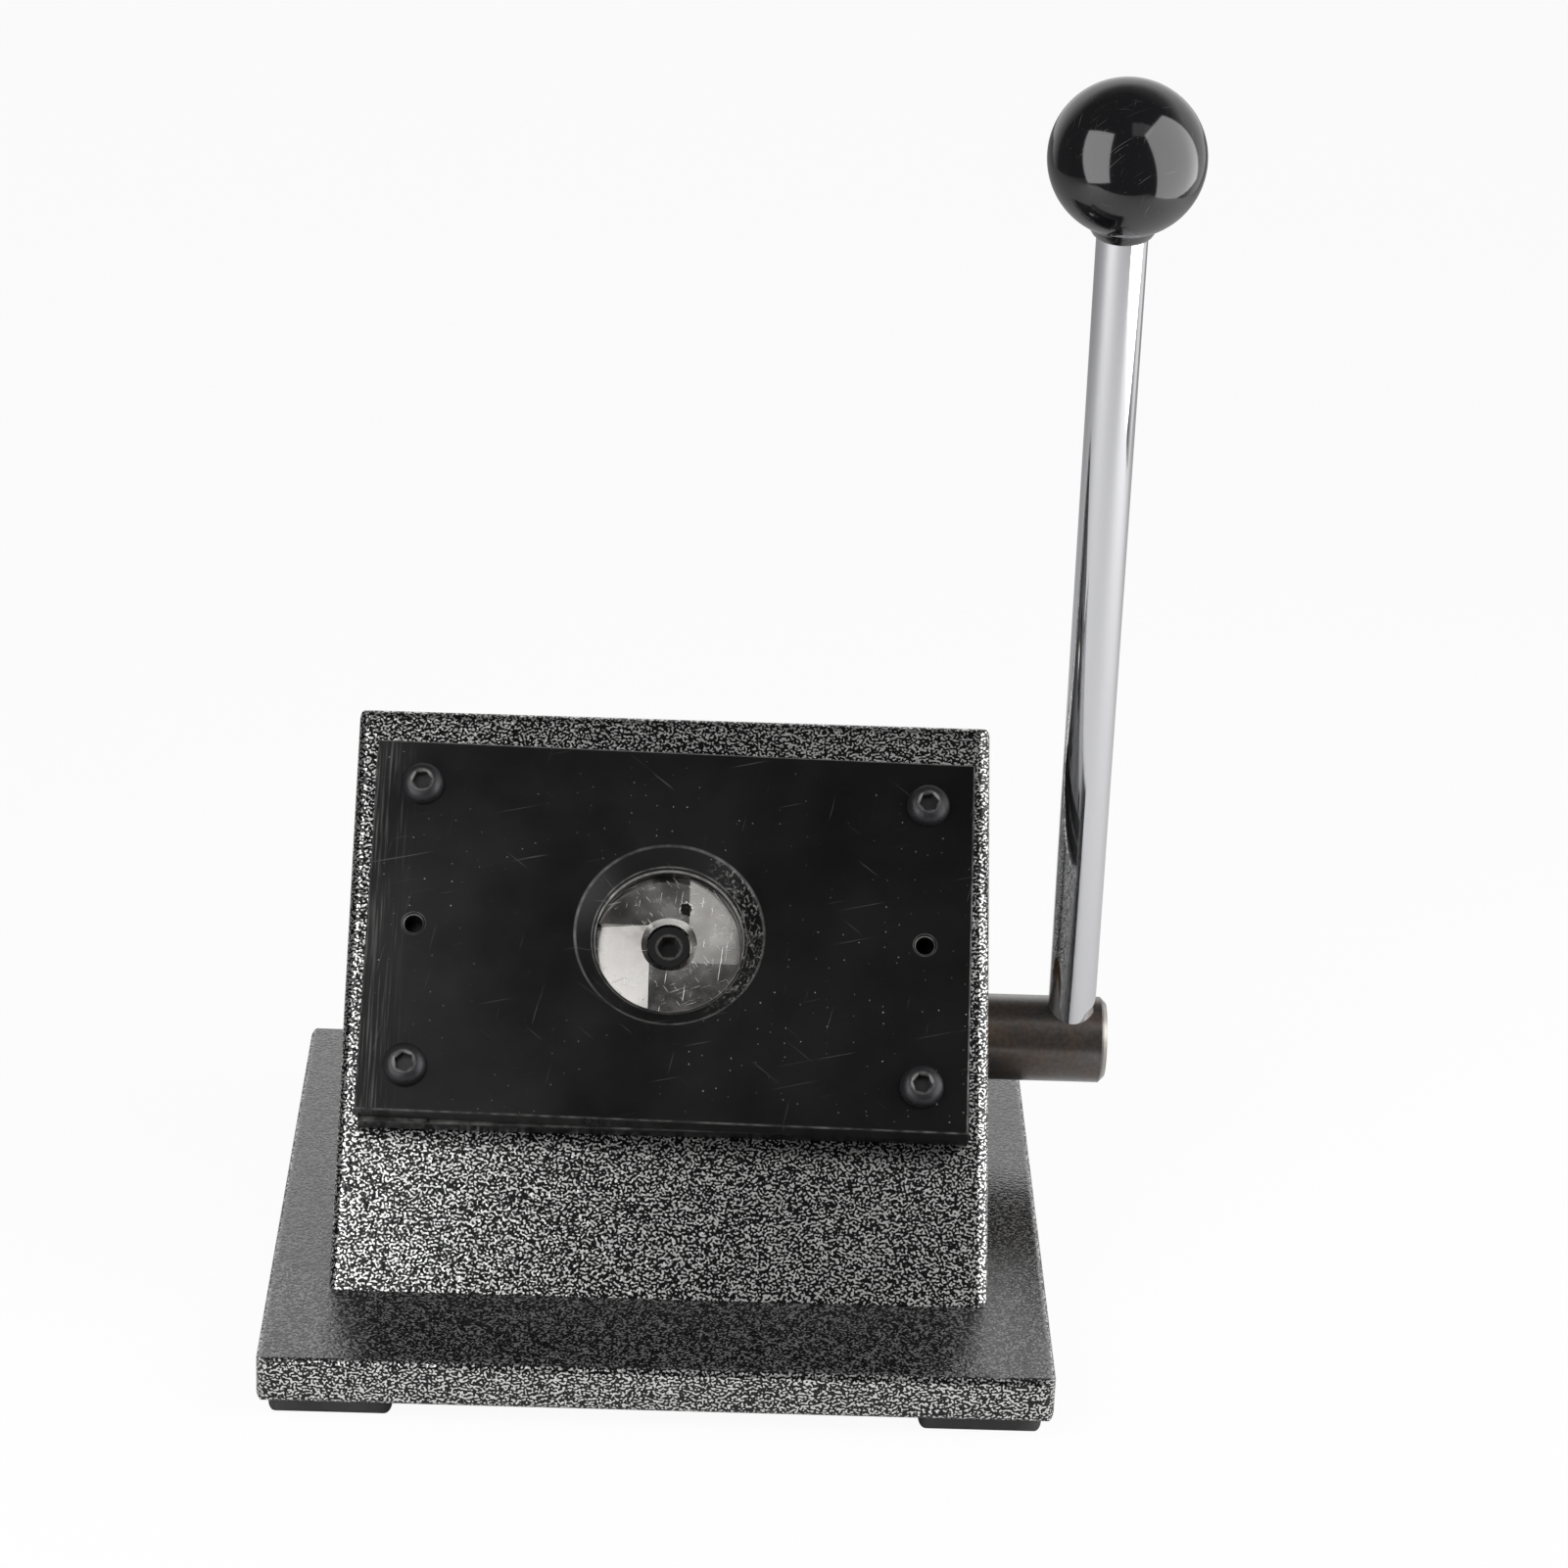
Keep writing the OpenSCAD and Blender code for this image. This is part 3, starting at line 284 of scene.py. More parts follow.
    bump = add_node(tree, "ShaderNodeBump", {}, {
        "Height": hairline, "Strength": 0.2, "Distance": -0.02 * MM})[0]
    # Painted reflection: the gloss is stronger towards the left of the plate, and it also varies at
    # random with the oil.
    oil_film_and_painted_light = add_node(tree, "ShaderNodeMapRange", {}, {
        "Value": across, "From Min": -PLATE_W / 2, "From Max": PLATE_W / 2,
        "To Min": 0.5, "To Max": 0.24})[0]
    wipe_and_painted_light = add_node(tree, "ShaderNodeMapRange", {}, {
        "Value": smear, "From Min": 0.35, "From Max": 0.65, "To Min": 0.75, "To Max": 1.2})[0]
    oil_film_and_painted_light = add_node(tree, "ShaderNodeMath", {"operation": "MULTIPLY"}, {0: oil_film_and_painted_light, 1: wipe_and_painted_light})[0]
    surface = add_node(tree, "ShaderNodeBsdfPrincipled", {}, {
        "Base Color": colour, "Metallic": metal, "Roughness": rough, "IOR": 1.32,
        "Specular IOR Level": oil_film_and_painted_light, "Normal": bump})
    add_node(tree, "ShaderNodeOutputMaterial", {}, {"Surface": surface["BSDF"]})
    return made


paint(blackened_plate("blackened_steel_guide", GUIDE_TOP, False), "guide_plate", "slot_shims")
paint(blackened_plate("blackened_steel_die", PLATE_TOP, True), "die_plate")

# Button-head screws of the plates
# Four M6 screws with a domed head and a hexagon socket, cold headed and blackened. The key has
# rubbed the rim of each socket bare, and they were left at whatever turn they came tight.

HEAD_R, HEAD_H, HEAD_RIM_H = 5.1 * MM, 3.3 * MM, 0.5 * MM
SHANK_R, SHANK_LEN, SHANK_BEVEL = 3.0 * MM, 18.2 * MM, 0.5 * MM
SHANK_PINHOLE, HEAD_EASE = 0.0001 * MM, 0.1 * MM
KEY_R, KEY_DEPTH, KEY_BEVEL = 2.0 * MM / math.cos(math.pi / 6), 2.2 * MM, 0.3 * MM
HEAD_STEPS, TURN_STEPS = 10, 48
SHARP_ANGLE = math.radians(28)


def lathe(mesh, profile, steps):
    """Turns a profile of (radius, height) points about Z into a mesh, and gives its rings."""
    rings = []
    for r, z in profile:
        rings.append([mesh.verts.new((r * math.cos(a), r * math.sin(a), z))
                      for a in (2 * math.pi * k / steps for k in range(steps))])
    for low, high in zip(rings, rings[1:]):
        for k in range(steps):
            mesh.faces.new((low[k - 1], low[k], high[k], high[k - 1]))
    return rings


def make_piece(name, mesh, finish):
    """Makes an object of a bmesh, with smooth faces that break at sharp edges."""
    data = bpy.data.meshes.new(name)
    bmesh.ops.recalc_face_normals(mesh, faces=mesh.faces)
    for edge in mesh.edges:
        edge.smooth = edge.calc_face_angle(0) < SHARP_ANGLE
    for face in mesh.faces:
        face.smooth = True
    mesh.to_mesh(data)
    mesh.free()
    data.materials.append(finish)
    made = bpy.data.objects.new(name, data)
    bpy.context.scene.collection.objects.link(made)
    return made


oxide, tree, place = new_finish("oiled_black_oxide")
cloud = add_node(tree, "ShaderNodeTexNoise", {}, {
    "Vector": place, "Scale": 1 / (1.1 * MM), "Detail": 5.0})[0]
rubbed_and_painted_highlight = add_node(tree, "ShaderNodeAttribute", {"attribute_name": "rubbed_and_painted_highlight"}, {})["Fac"]
bare_and_painted_highlight = add_node(tree, "ShaderNodeMath", {"operation": "MULTIPLY"}, {0: rubbed_and_painted_highlight, 1: cloud})[0]
oxide_colour = add_node(tree, "ShaderNodeMix", {"data_type": "RGBA"}, {
    0: bare_and_painted_highlight, 6: linear("#2d2d2f"), 7: linear("#72716e")})[2]
oxide_rough = add_node(tree, "ShaderNodeMapRange", {}, {
    "Value": cloud, "From Min": 0.3, "From Max": 0.7, "To Min": 0.3, "To Max": 0.48})[0]
surface = add_node(tree, "ShaderNodeBsdfPrincipled", {}, {
    "Base Color": oxide_colour, "Metallic": 0.6, "Roughness": oxide_rough})
add_node(tree, "ShaderNodeOutputMaterial", {}, {"Surface": surface["BSDF"]})
paint(oxide, "die_plate_screws", "sleeve_screws", "stop_collar_screw",
      "retaining_collar_screw", "rod_set_screw")

one_screw = bmesh.new()
wear_and_painted_highlight = one_screw.verts.layers.float.new("rubbed_and_painted_highlight")
socket_r = KEY_R + KEY_BEVEL
profile = [(SHANK_PINHOLE, -SHANK_LEN), (SHANK_R - SHANK_BEVEL, -SHANK_LEN),
           (SHANK_R, -SHANK_LEN + SHANK_BEVEL), (SHANK_R, 0),
           (HEAD_R - HEAD_EASE, 0), (HEAD_R, HEAD_EASE), (HEAD_R, HEAD_RIM_H)]
for k in range(1, HEAD_STEPS + 1):
    a = math.pi / 2 * k / HEAD_STEPS
    profile.append((socket_r + (HEAD_R - socket_r) * math.cos(a),
                    HEAD_RIM_H + (HEAD_H - HEAD_RIM_H) * math.sin(a)))
rings = lathe(one_screw, profile, TURN_STEPS)
for vert in rings[-1]:
    vert[wear_and_painted_highlight] = 1.0
for depth, share in ((-KEY_BEVEL, 0.7), (-KEY_DEPTH, 0.0)):
    ring = []
    for k in range(TURN_STEPS):
        a = 2 * math.pi * k / TURN_STEPS
        hexagon = KEY_R * math.cos(math.pi / 6) / math.cos((a % (math.pi / 3)) - math.pi / 6)
        ring.append(one_screw.verts.new((hexagon * math.cos(a), hexagon * math.sin(a), HEAD_H + depth)))
        ring[-1][wear_and_painted_highlight] = share
    for k in range(TURN_STEPS):
        one_screw.faces.new((rings[-1][k - 1], rings[-1][k], ring[k], ring[k - 1]))
    rings.append(ring)
one_screw.faces.new(rings[-1])
one_screw.faces.new(rings[0])
screws = make_piece("plate_button_screws", one_screw, oxide)

screw_tree = bpy.data.node_groups.new("screws_at_corners", "GeometryNodeTree")
for name, kind in (("Screw", "NodeSocketGeometry"), ("Spacing across", "NodeSocketFloat"),
                   ("Spacing up", "NodeSocketFloat"), ("Seat", "NodeSocketVector"),
                   ("Turn of face", "NodeSocketRotation"), ("Finish", "NodeSocketMaterial")):
    screw_tree.interface.new_socket(name=name, in_out="INPUT", socket_type=kind)
screw_tree.interface.new_socket(name="Screws", in_out="OUTPUT", socket_type="NodeSocketGeometry")
given = add_node(screw_tree, "NodeGroupInput", {}, {})
corners = add_node(screw_tree, "GeometryNodeMeshGrid", {}, {
    "Size X": given["Spacing across"], "Size Y": given["Spacing up"],
    "Vertices X": 2, "Vertices Y": 2})["Mesh"]
tight = add_node(screw_tree, "FunctionNodeRandomValue", {"data_type": "FLOAT"}, {
    "Min": 0.0, "Max": math.pi / 3, "Seed": 4})["Value"]
tight = add_node(screw_tree, "ShaderNodeCombineXYZ", {}, {"Z": tight})[0]
placed = add_node(screw_tree, "GeometryNodeInstanceOnPoints", {}, {
    "Points": corners, "Instance": given["Screw"], "Rotation": tight})[0]
seated = add_node(screw_tree, "GeometryNodeTransform", {}, {
    "Geometry": placed, "Translation": given["Seat"], "Rotation": given["Turn of face"]})[0]
whole = add_node(screw_tree, "GeometryNodeRealizeInstances", {}, {"Geometry": seated})[0]
finished = add_node(screw_tree, "GeometryNodeSetMaterial", {}, {
    "Geometry": whole, "Material": given["Finish"]})[0]
add_node(screw_tree, "NodeGroupOutput", {}, {"Screws": finished})


def settle(piece, node_tree, sizes):
    """Runs a node tree with these sizes on a piece and keeps the result as its plain mesh."""
    modifier = piece.modifiers.new("made_by_nodes", "NODES")
    modifier.node_group = node_tree
    for socket in node_tree.interface.items_tree:
        if socket.in_out == "INPUT" and socket.name in sizes:
            modifier[socket.identifier] = sizes[socket.name]
    bpy.context.view_layer.update()
    made = bpy.data.meshes.new_from_object(piece.evaluated_get(bpy.context.evaluated_depsgraph_get()))
    piece.modifiers.clear()
    piece.data = made


settle(screws, screw_tree, {
    "Spacing across": SCREWS_ACROSS, "Spacing up": SCREWS_UP,
    "Seat": FACE_POINT + face_turn.to_3x3() @ Vector((0, 0, PLATE_TOP)),
    "Turn of face": face_turn.to_euler(), "Finish": oxide})
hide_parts("die_plate_screws")
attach(screws, "stand")

# Punch
# A hardened steel punch, its end ground to four sheared facets round the counterbore of its screw.
# The upper right is painted brighter and the lower right darker, a painted highlight and painted shade.
# Nicks and scratches from use are drawn as coarse as they need to show.

EDGE_CHIP = (4.0 * MM, 9.0 * MM, 4.0 * MM)
ground, tree, place = new_finish("ground_tool_steel")
flat = add_node(tree, "ShaderNodeMapping", {"vector_type": "TEXTURE"}, {
    "Vector": place, "Location": FACE_POINT, "Rotation": (TILT, 0, 0)})[0]
stain = add_node(tree, "ShaderNodeTexNoise", {}, {
    "Vector": flat, "Scale": 1 / (6 * MM), "Detail": 6.0})[0]
ground_colour = add_node(tree, "ShaderNodeMix", {"data_type": "RGBA"}, {
    0: stain, 6: linear("#807d7a"), 7: linear("#c2c0bd")})[2]
# Painted highlight and painted shade: the upper right of the face is drawn brighter and the lower right
# darker.
oil_film_and_painted_light = 1.0
for slant, start, end, share in (((1, 1, 0), -2, 3, 1.65), ((1, -1, 0), 6, 16, 0.55)):
    reach = add_node(tree, "ShaderNodeVectorMath", {"operation": "DOT_PRODUCT"}, {
        0: flat, 1: slant})["Value"]
    wipe_and_painted_light = add_node(tree, "ShaderNodeMapRange", {}, {
        "Value": reach, "From Min": start * MM, "From Max": end * MM,
        "To Min": 1.0, "To Max": share})[0]
    oil_film_and_painted_light = add_node(tree, "ShaderNodeMath", {"operation": "MULTIPLY"}, {0: oil_film_and_painted_light, 1: wipe_and_painted_light})[0]
ground_colour = add_node(tree, "ShaderNodeVectorMath", {"operation": "SCALE"}, {
    0: ground_colour, "Scale": oil_film_and_painted_light})[0]
scratch = 0.0
for angle, length, gap, sparse in ((20, 7, 0.22, 0.72), (-52, 5, 0.2, 0.72), (83, 6, 0.25, 0.71)):
    turned = add_node(tree, "ShaderNodeMapping", {"vector_type": "TEXTURE"}, {
        "Vector": flat, "Rotation": (0, 0, math.radians(angle)),
        "Scale": (length * MM, gap * MM, length * MM)})[0]
    line = add_node(tree, "ShaderNodeTexNoise", {}, {"Vector": turned, "Scale": 1.0, "Detail": 1.0})[0]
    line = add_node(tree, "ShaderNodeMapRange", {}, {
        "Value": line, "From Min": sparse, "From Max": sparse + 0.08, "To Min": 0.0, "To Max": 0.6})[0]
    scratch = add_node(tree, "ShaderNodeMath", {"operation": "MAXIMUM"}, {0: scratch, 1: line})[0]
chip_noise = add_node(tree, "ShaderNodeTexNoise", {}, {
    "Vector": flat, "Scale": 1 / (1.6 * MM), "Detail": 3.0})[0]
chips = add_node(tree, "ShaderNodeMapRange", {}, {
    "Value": chip_noise, "From Min": 0.72, "From Max": 0.76})[0]
ground_colour = add_node(tree, "ShaderNodeMix", {"data_type": "RGBA"}, {
    0: scratch, 6: ground_colour, 7: linear("#e4e2de")})[2]
from_chip = add_node(tree, "ShaderNodeVectorMath", {"operation": "DISTANCE"}, {
    0: flat, 1: EDGE_CHIP})["Value"]
from_chip = add_node(tree, "ShaderNodeMath", {"operation": "MULTIPLY_ADD"}, {
    0: chip_noise, 1: 3 * MM, 2: from_chip})[0]
broken = add_node(tree, "ShaderNodeMapRange", {}, {
    "Value": from_chip, "From Min": 3.3 * MM, "From Max": 3.0 * MM})[0]
chips = add_node(tree, "ShaderNodeMath", {"operation": "MAXIMUM"}, {0: chips, 1: broken})[0]
ground_colour = add_node(tree, "ShaderNodeMix", {"data_type": "RGBA"}, {
    0: chips, 6: ground_colour, 7: linear("#4c4946")})[2]
ground_rough = add_node(tree, "ShaderNodeMapRange", {}, {
    "Value": stain, "From Min": 0.3, "From Max": 0.7, "To Min": 0.14, "To Max": 0.3})[0]
ground_rough = add_node(tree, "ShaderNodeMath", {"operation": "MULTIPLY_ADD"}, {
    0: scratch, 1: 0.3, 2: ground_rough})[0]
relief = add_node(tree, "ShaderNodeMath", {"operation": "MULTIPLY_ADD"}, {
    0: chips, 1: 3.0, 2: scratch})[0]
ground_bump = add_node(tree, "ShaderNodeBump", {}, {
    "Height": relief, "Strength": 0.8, "Distance": -0.04 * MM})[0]
surface = add_node(tree, "ShaderNodeBsdfPrincipled", {}, {
    "Base Color": ground_colour, "Metallic": 1.0, "Roughness": ground_rough, "Normal": ground_bump})
add_node(tree, "ShaderNodeOutputMaterial", {}, {"Surface": surface["BSDF"]})
paint(ground, "punch")

# Punch screw
# An M6 cap screw at the bottom of the counterbore, blackened, with the rim of its hexagon socket
# rubbed to bare steel by the key.

SOCKET_R = 2.9 * MM
worn_oxide, tree, place = new_finish("worn_black_oxide")
flat = add_node(tree, "ShaderNodeMapping", {"vector_type": "TEXTURE"}, {
    "Vector": place, "Location": FACE_POINT, "Rotation": (TILT, 0, 0)})[0]
outward = add_node(tree, "ShaderNodeVectorMath", {"operation": "MULTIPLY"}, {0: flat, 1: (1, 1, 0)})[0]
off = add_node(tree, "ShaderNodeVectorMath", {"operation": "LENGTH"}, {0: outward})["Value"]
off = add_node(tree, "ShaderNodeMath", {"operation": "SUBTRACT"}, {0: off, 1: SOCKET_R})[0]
off = add_node(tree, "ShaderNodeMath", {"operation": "ABSOLUTE"}, {0: off})[0]
cloud = add_node(tree, "ShaderNodeTexNoise", {}, {
    "Vector": place, "Scale": 1 / (0.8 * MM), "Detail": 4.0})[0]
bare_and_painted_highlight = add_node(tree, "ShaderNodeMapRange", {}, {
    "Value": off, "From Min": 0.5 * MM, "From Max": 0.15 * MM})[0]
bare_and_painted_highlight = add_node(tree, "ShaderNodeMath", {"operation": "MULTIPLY"}, {0: bare_and_painted_highlight, 1: cloud})[0]
screw_colour = add_node(tree, "ShaderNodeMix", {"data_type": "RGBA"}, {
    0: bare_and_painted_highlight, 6: linear("#1c1c1d"), 7: linear("#64625f")})[2]
surface = add_node(tree, "ShaderNodeBsdfPrincipled", {}, {
    "Base Color": screw_colour, "Metallic": 0.6, "Roughness": 0.36})
add_node(tree, "ShaderNodeOutputMaterial", {}, {"Surface": surface["BSDF"]})
paint(worn_oxide, "punch_screw")

# Ram, eccentric and collars
# Plain machined steel, fitted on the shaft or driven by it, and hidden in the housing. Cutting leaves
# a fine lay, drawn as coarse as it needs to show, under a thin film of oil.

machined, tree, place = new_finish("machined_steel")
lay = add_node(tree, "ShaderNodeMapping", {}, {
    "Vector": place, "Scale": (1 / (0.3 * MM), 1 / (7 * MM), 1 / (7 * MM))})[0]
cut = add_node(tree, "ShaderNodeTexNoise", {}, {"Vector": lay, "Scale": 1.0, "Detail": 3.0})[0]
machined_colour = add_node(tree, "ShaderNodeMix", {"data_type": "RGBA"}, {
    0: cut, 6: linear("#9b9b9a"), 7: linear("#c9c8c5")})[2]
machined_rough = add_node(tree, "ShaderNodeMapRange", {}, {
    "Value": cut, "To Min": 0.25, "To Max": 0.45})[0]
surface = add_node(tree, "ShaderNodeBsdfPrincipled", {}, {
    "Base Color": machined_colour, "Metallic": 1.0, "Roughness": machined_rough})
add_node(tree, "ShaderNodeOutputMaterial", {}, {"Surface": surface["BSDF"]})
paint(machined, "ram", "eccentric", "eccentric_pin", "stop_collar", "stop_pin", "retaining_collar")

# Sleeve, bushes and washers
# Turned bearing bronze, warm and dull from oil. The bushes are pressed into the side walls, the sleeve
# is screwed on behind the face, and the washers lie on the shaft.

bronze, tree, place = new_finish("bearing_bronze")
oil = add_node(tree, "ShaderNodeTexNoise", {}, {
    "Vector": place, "Scale": 1 / (5 * MM), "Detail": 5.0})[0]
bronze_colour = add_node(tree, "ShaderNodeMix", {"data_type": "RGBA"}, {
    0: oil, 6: linear("#3c342a"), 7: linear("#66553b")})[2]
bronze_rough = add_node(tree, "ShaderNodeMapRange", {}, {
    "Value": oil, "To Min": 0.28, "To Max": 0.5})[0]
surface = add_node(tree, "ShaderNodeBsdfPrincipled", {}, {
    "Base Color": bronze_colour, "Metallic": 1.0, "Roughness": bronze_rough})
add_node(tree, "ShaderNodeOutputMaterial", {}, {"Surface": surface["BSDF"]})
paint(bronze, "guide_sleeve", "right_bush", "left_bush", "right_thrust_washer", "left_thrust_washer")

# Lever shaft
# A turned steel bar, heat-darkened and oiled, with brown stain where the oil has dried and a bare
# bright bevel at its outer end, which rubs against sleeves and boxes.

SHAFT_END_X = 96.7736 * MM
shaft_steel, tree, place = new_finish("darkened_turned_steel")
patch = add_node(tree, "ShaderNodeTexNoise", {}, {
    "Vector": place, "Scale": 1 / (7 * MM), "Detail": 6.0})[0]
patch_share = add_node(tree, "ShaderNodeMapRange", {}, {
    "Value": patch, "From Min": 0.42, "From Max": 0.62})[0]
shaft_colour = add_node(tree, "ShaderNodeMix", {"data_type": "RGBA"}, {
    0: patch_share, 6: linear("#54504d"), 7: linear("#58493f")})[2]
mottle = add_node(tree, "ShaderNodeTexNoise", {}, {
    "Vector": place, "Scale": 1 / (1.1 * MM), "Detail": 6.0, "Roughness": 0.65})[0]
mottle_share = add_node(tree, "ShaderNodeMapRange", {}, {
    "Value": mottle, "From Min": 0.35, "From Max": 0.6, "To Min": 0.5, "To Max": 0.0})[0]
shaft_colour = add_node(tree, "ShaderNodeMix", {"data_type": "RGBA"}, {
    0: mottle_share, 6: shaft_colour, 7: linear("#2d2825")})[2]
fleck = add_node(tree, "ShaderNodeMapRange", {}, {
    "Value": mottle, "From Min": 0.66, "From Max": 0.78, "To Min": 0.0, "To Max": 0.35})[0]
along = add_node(tree, "ShaderNodeSeparateXYZ", {}, {0: place})["X"]
rim = add_node(tree, "ShaderNodeMapRange", {}, {
    "Value": along, "From Min": SHAFT_END_X - 1.0 * MM, "From Max": SHAFT_END_X - 0.8 * MM})[0]
bare_and_painted_highlight = add_node(tree, "ShaderNodeMath", {"operation": "MAXIMUM"}, {0: fleck, 1: rim})[0]
shaft_colour = add_node(tree, "ShaderNodeMix", {"data_type": "RGBA"}, {
    0: bare_and_painted_highlight, 6: shaft_colour, 7: linear("#8d8882")})[2]
shaft_rough = add_node(tree, "ShaderNodeMapRange", {}, {
    "Value": patch, "From Min": 0.3, "From Max": 0.7, "To Min": 0.28, "To Max": 0.46})[0]
shaft_bump = add_node(tree, "ShaderNodeBump", {}, {
    "Height": mottle, "Strength": 0.35, "Distance": 0.05 * MM})[0]
surface = add_node(tree, "ShaderNodeBsdfPrincipled", {}, {
    "Base Color": shaft_colour, "Metallic": 0.8, "Roughness": shaft_rough, "Normal": shaft_bump,
    "Coat Weight": 1.0, "Coat Roughness": 0.2})
add_node(tree, "ShaderNodeOutputMaterial", {}, {"Surface": surface["BSDF"]})
paint(shaft_steel, "lever_shaft")

# Lever rod
# A polished steel rod under bright chrome plate, pushed through the shaft and locked by a grub
# screw. Chrome mirrors the room almost whole. Its drawing lines are as coarse as they need to show.

AXLE = Vector((88.2736, 37.05455, 40.99675)) * MM
LEVER_LEAN, ROD_LEAN_IN = math.radians(11), math.radians(1.2)
rod_turn = Matrix.Rotation(LEVER_LEAN, 4, "X") @ Matrix.Rotation(-ROD_LEAN_IN, 4, "Y")
chrome, tree, place = new_finish("chrome_plate")
up_rod = add_node(tree, "ShaderNodeMapping", {"vector_type": "TEXTURE"}, {
    "Vector": place, "Location": AXLE, "Rotation": rod_turn.to_euler()})[0]
drawn = add_node(tree, "ShaderNodeMapping", {}, {
    "Vector": up_rod, "Scale": (1 / (0.5 * MM), 1 / (0.5 * MM), 1 / (60 * MM))})[0]
lines = add_node(tree, "ShaderNodeTexNoise", {}, {"Vector": drawn, "Scale": 1.0, "Detail": 2.0})[0]
chrome_rough = add_node(tree, "ShaderNodeMapRange", {}, {
    "Value": lines, "To Min": 0.02, "To Max": 0.1})[0]
chrome_bump = add_node(tree, "ShaderNodeBump", {}, {
    "Height": lines, "Strength": 0.05, "Distance": 0.01 * MM})[0]
surface = add_node(tree, "ShaderNodeBsdfPrincipled", {}, {
    "Base Color": linear("#d4d4d7"), "Metallic": 1.0, "Roughness": chrome_rough, "Normal": chrome_bump})
add_node(tree, "ShaderNodeOutputMaterial", {}, {"Surface": surface["BSDF"]})
paint(chrome, "lever_rod")

# Ball knob and its insert
# A ball of black phenolic, moulded round a turned brass insert and polished, with a short collar. The
# hand leaves hairline scuffs on its deep gloss, drawn as coarse as they need to show. The brass is
# yellow and half dull.

brass, tree, place = new_finish("machined_brass")
tarnish = add_node(tree, "ShaderNodeTexNoise", {}, {
    "Vector": place, "Scale": 1 / (3 * MM), "Detail": 4.0})[0]
brass_colour = add_node(tree, "ShaderNodeMix", {"data_type": "RGBA"}, {
    0: tarnish, 6: linear("#a5803c"), 7: linear("#d9b866")})[2]
surface = add_node(tree, "ShaderNodeBsdfPrincipled", {}, {
    "Base Color": brass_colour, "Metallic": 1.0, "Roughness": 0.3})
add_node(tree, "ShaderNodeOutputMaterial", {}, {"Surface": surface["BSDF"]})
paint(brass, "knob_insert")

LEVER_LEN, BALL_R = 241 * MM, 17.49 * MM
COLLAR_R, COLLAR_END_R, COLLAR_H = 8.0 * MM, 6.9 * MM, 0.6 * MM
COLLAR_EASE, COLLAR_FILLET = 0.2 * MM, 0.3 * MM
INSERT_R, INSERT_LEN, INSERT_PINHOLE = 5.5 * MM, 17 * MM, 0.001 * MM
BALL_STEPS, JOIN_ANGLE, POLE_ANGLE = 96, 0.02, 0.001

phenolic, tree, place = new_finish("polished_phenolic")
scuffs = 0.0
for turn, length, gap, sparse in (
        ((0.5, 0.3, 0.7), 9, 0.22, 0.72), ((-0.4, 0.9, -0.5), 7, 0.2, 0.74),
        ((0.2, -0.3, 1.4), 8, 0.22, 0.73),
        ((0.0, 0.0, 0.0), 0.5, 0.5, 0.73)):
    turned = add_node(tree, "ShaderNodeMapping", {"vector_type": "TEXTURE"}, {
        "Vector": place, "Rotation": turn, "Scale": (length * MM, gap * MM, length * MM)})[0]
    scuff = add_node(tree, "ShaderNodeTexNoise", {}, {"Vector": turned, "Scale": 1.0, "Detail": 1.0})[0]
    scuff = add_node(tree, "ShaderNodeMapRange", {}, {
        "Value": scuff, "From Min": sparse, "From Max": sparse + 0.06})[0]
    scuffs = add_node(tree, "ShaderNodeMath", {"operation": "MAXIMUM"}, {0: scuffs, 1: scuff})[0]
phenolic_colour = add_node(tree, "ShaderNodeMix", {"data_type": "RGBA"}, {
    0: scuffs, 6: linear("#0e0e10"), 7: linear("#3e3c3a")})[2]
phenolic_rough = add_node(tree, "ShaderNodeMapRange", {}, {
    "Value": scuffs, "To Min": 0.09, "To Max": 0.3})[0]
surface = add_node(tree, "ShaderNodeBsdfPrincipled", {}, {
    "Base Color": phenolic_colour, "Roughness": phenolic_rough, "IOR": 1.62})
add_node(tree, "ShaderNodeOutputMaterial", {}, {"Surface": surface["BSDF"]})

ball = bmesh.new()
foot = -BALL_R - COLLAR_H
join = math.asin(COLLAR_R / BALL_R)
profile = [(INSERT_PINHOLE, foot + INSERT_LEN), (INSERT_R, foot + INSERT_LEN), (INSERT_R, foot),
           (COLLAR_END_R - COLLAR_EASE, foot), (COLLAR_END_R, foot + COLLAR_EASE),
           (COLLAR_R, -BALL_R * math.cos(join) - COLLAR_FILLET)]
for k in range(BALL_STEPS // 2 + 1):
    a = join + JOIN_ANGLE + (math.pi - join - JOIN_ANGLE - POLE_ANGLE) * k / (BALL_STEPS // 2)
    profile.append((BALL_R * math.sin(a), -BALL_R * math.cos(a)))
rings = lathe(ball, profile, BALL_STEPS)
ball.faces.new(rings[-1])
ball.faces.new(rings[0])
on_rod = Matrix.Translation(AXLE) @ rod_turn @ Matrix.Translation((0, 0, LEVER_LEN))
bmesh.ops.transform(ball, matrix=on_rod, verts=ball.verts)
knob = make_piece("phenolic_ball", ball, phenolic)
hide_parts("ball_knob")
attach(knob, "lever")

# Table top, lamps and camera
# A white table runs on as the background. A softbox stands at the left and a larger one at the right,
# with a small dim card above. The wall behind is white and runs on to the right. The rest is dark.

FLOOR_DROP = 0.05 * MM
CAMERA_PLACE = Vector((-14.6754, -1035.329, 572.426)) * MM
YAW, PITCH, ROLL = (math.radians(v) for v in (1.6197, 23.4657, 2.4132))
LENS, SENSOR = 112.09, 36
TABLE_GLOW, SOFT_FILL = 0.94, 0.3
WHITE_WALL, WALL_TOP, DARK_ROOM, WALL_TO_RIGHT = 0.95, 0.3, 0.08, 0.5

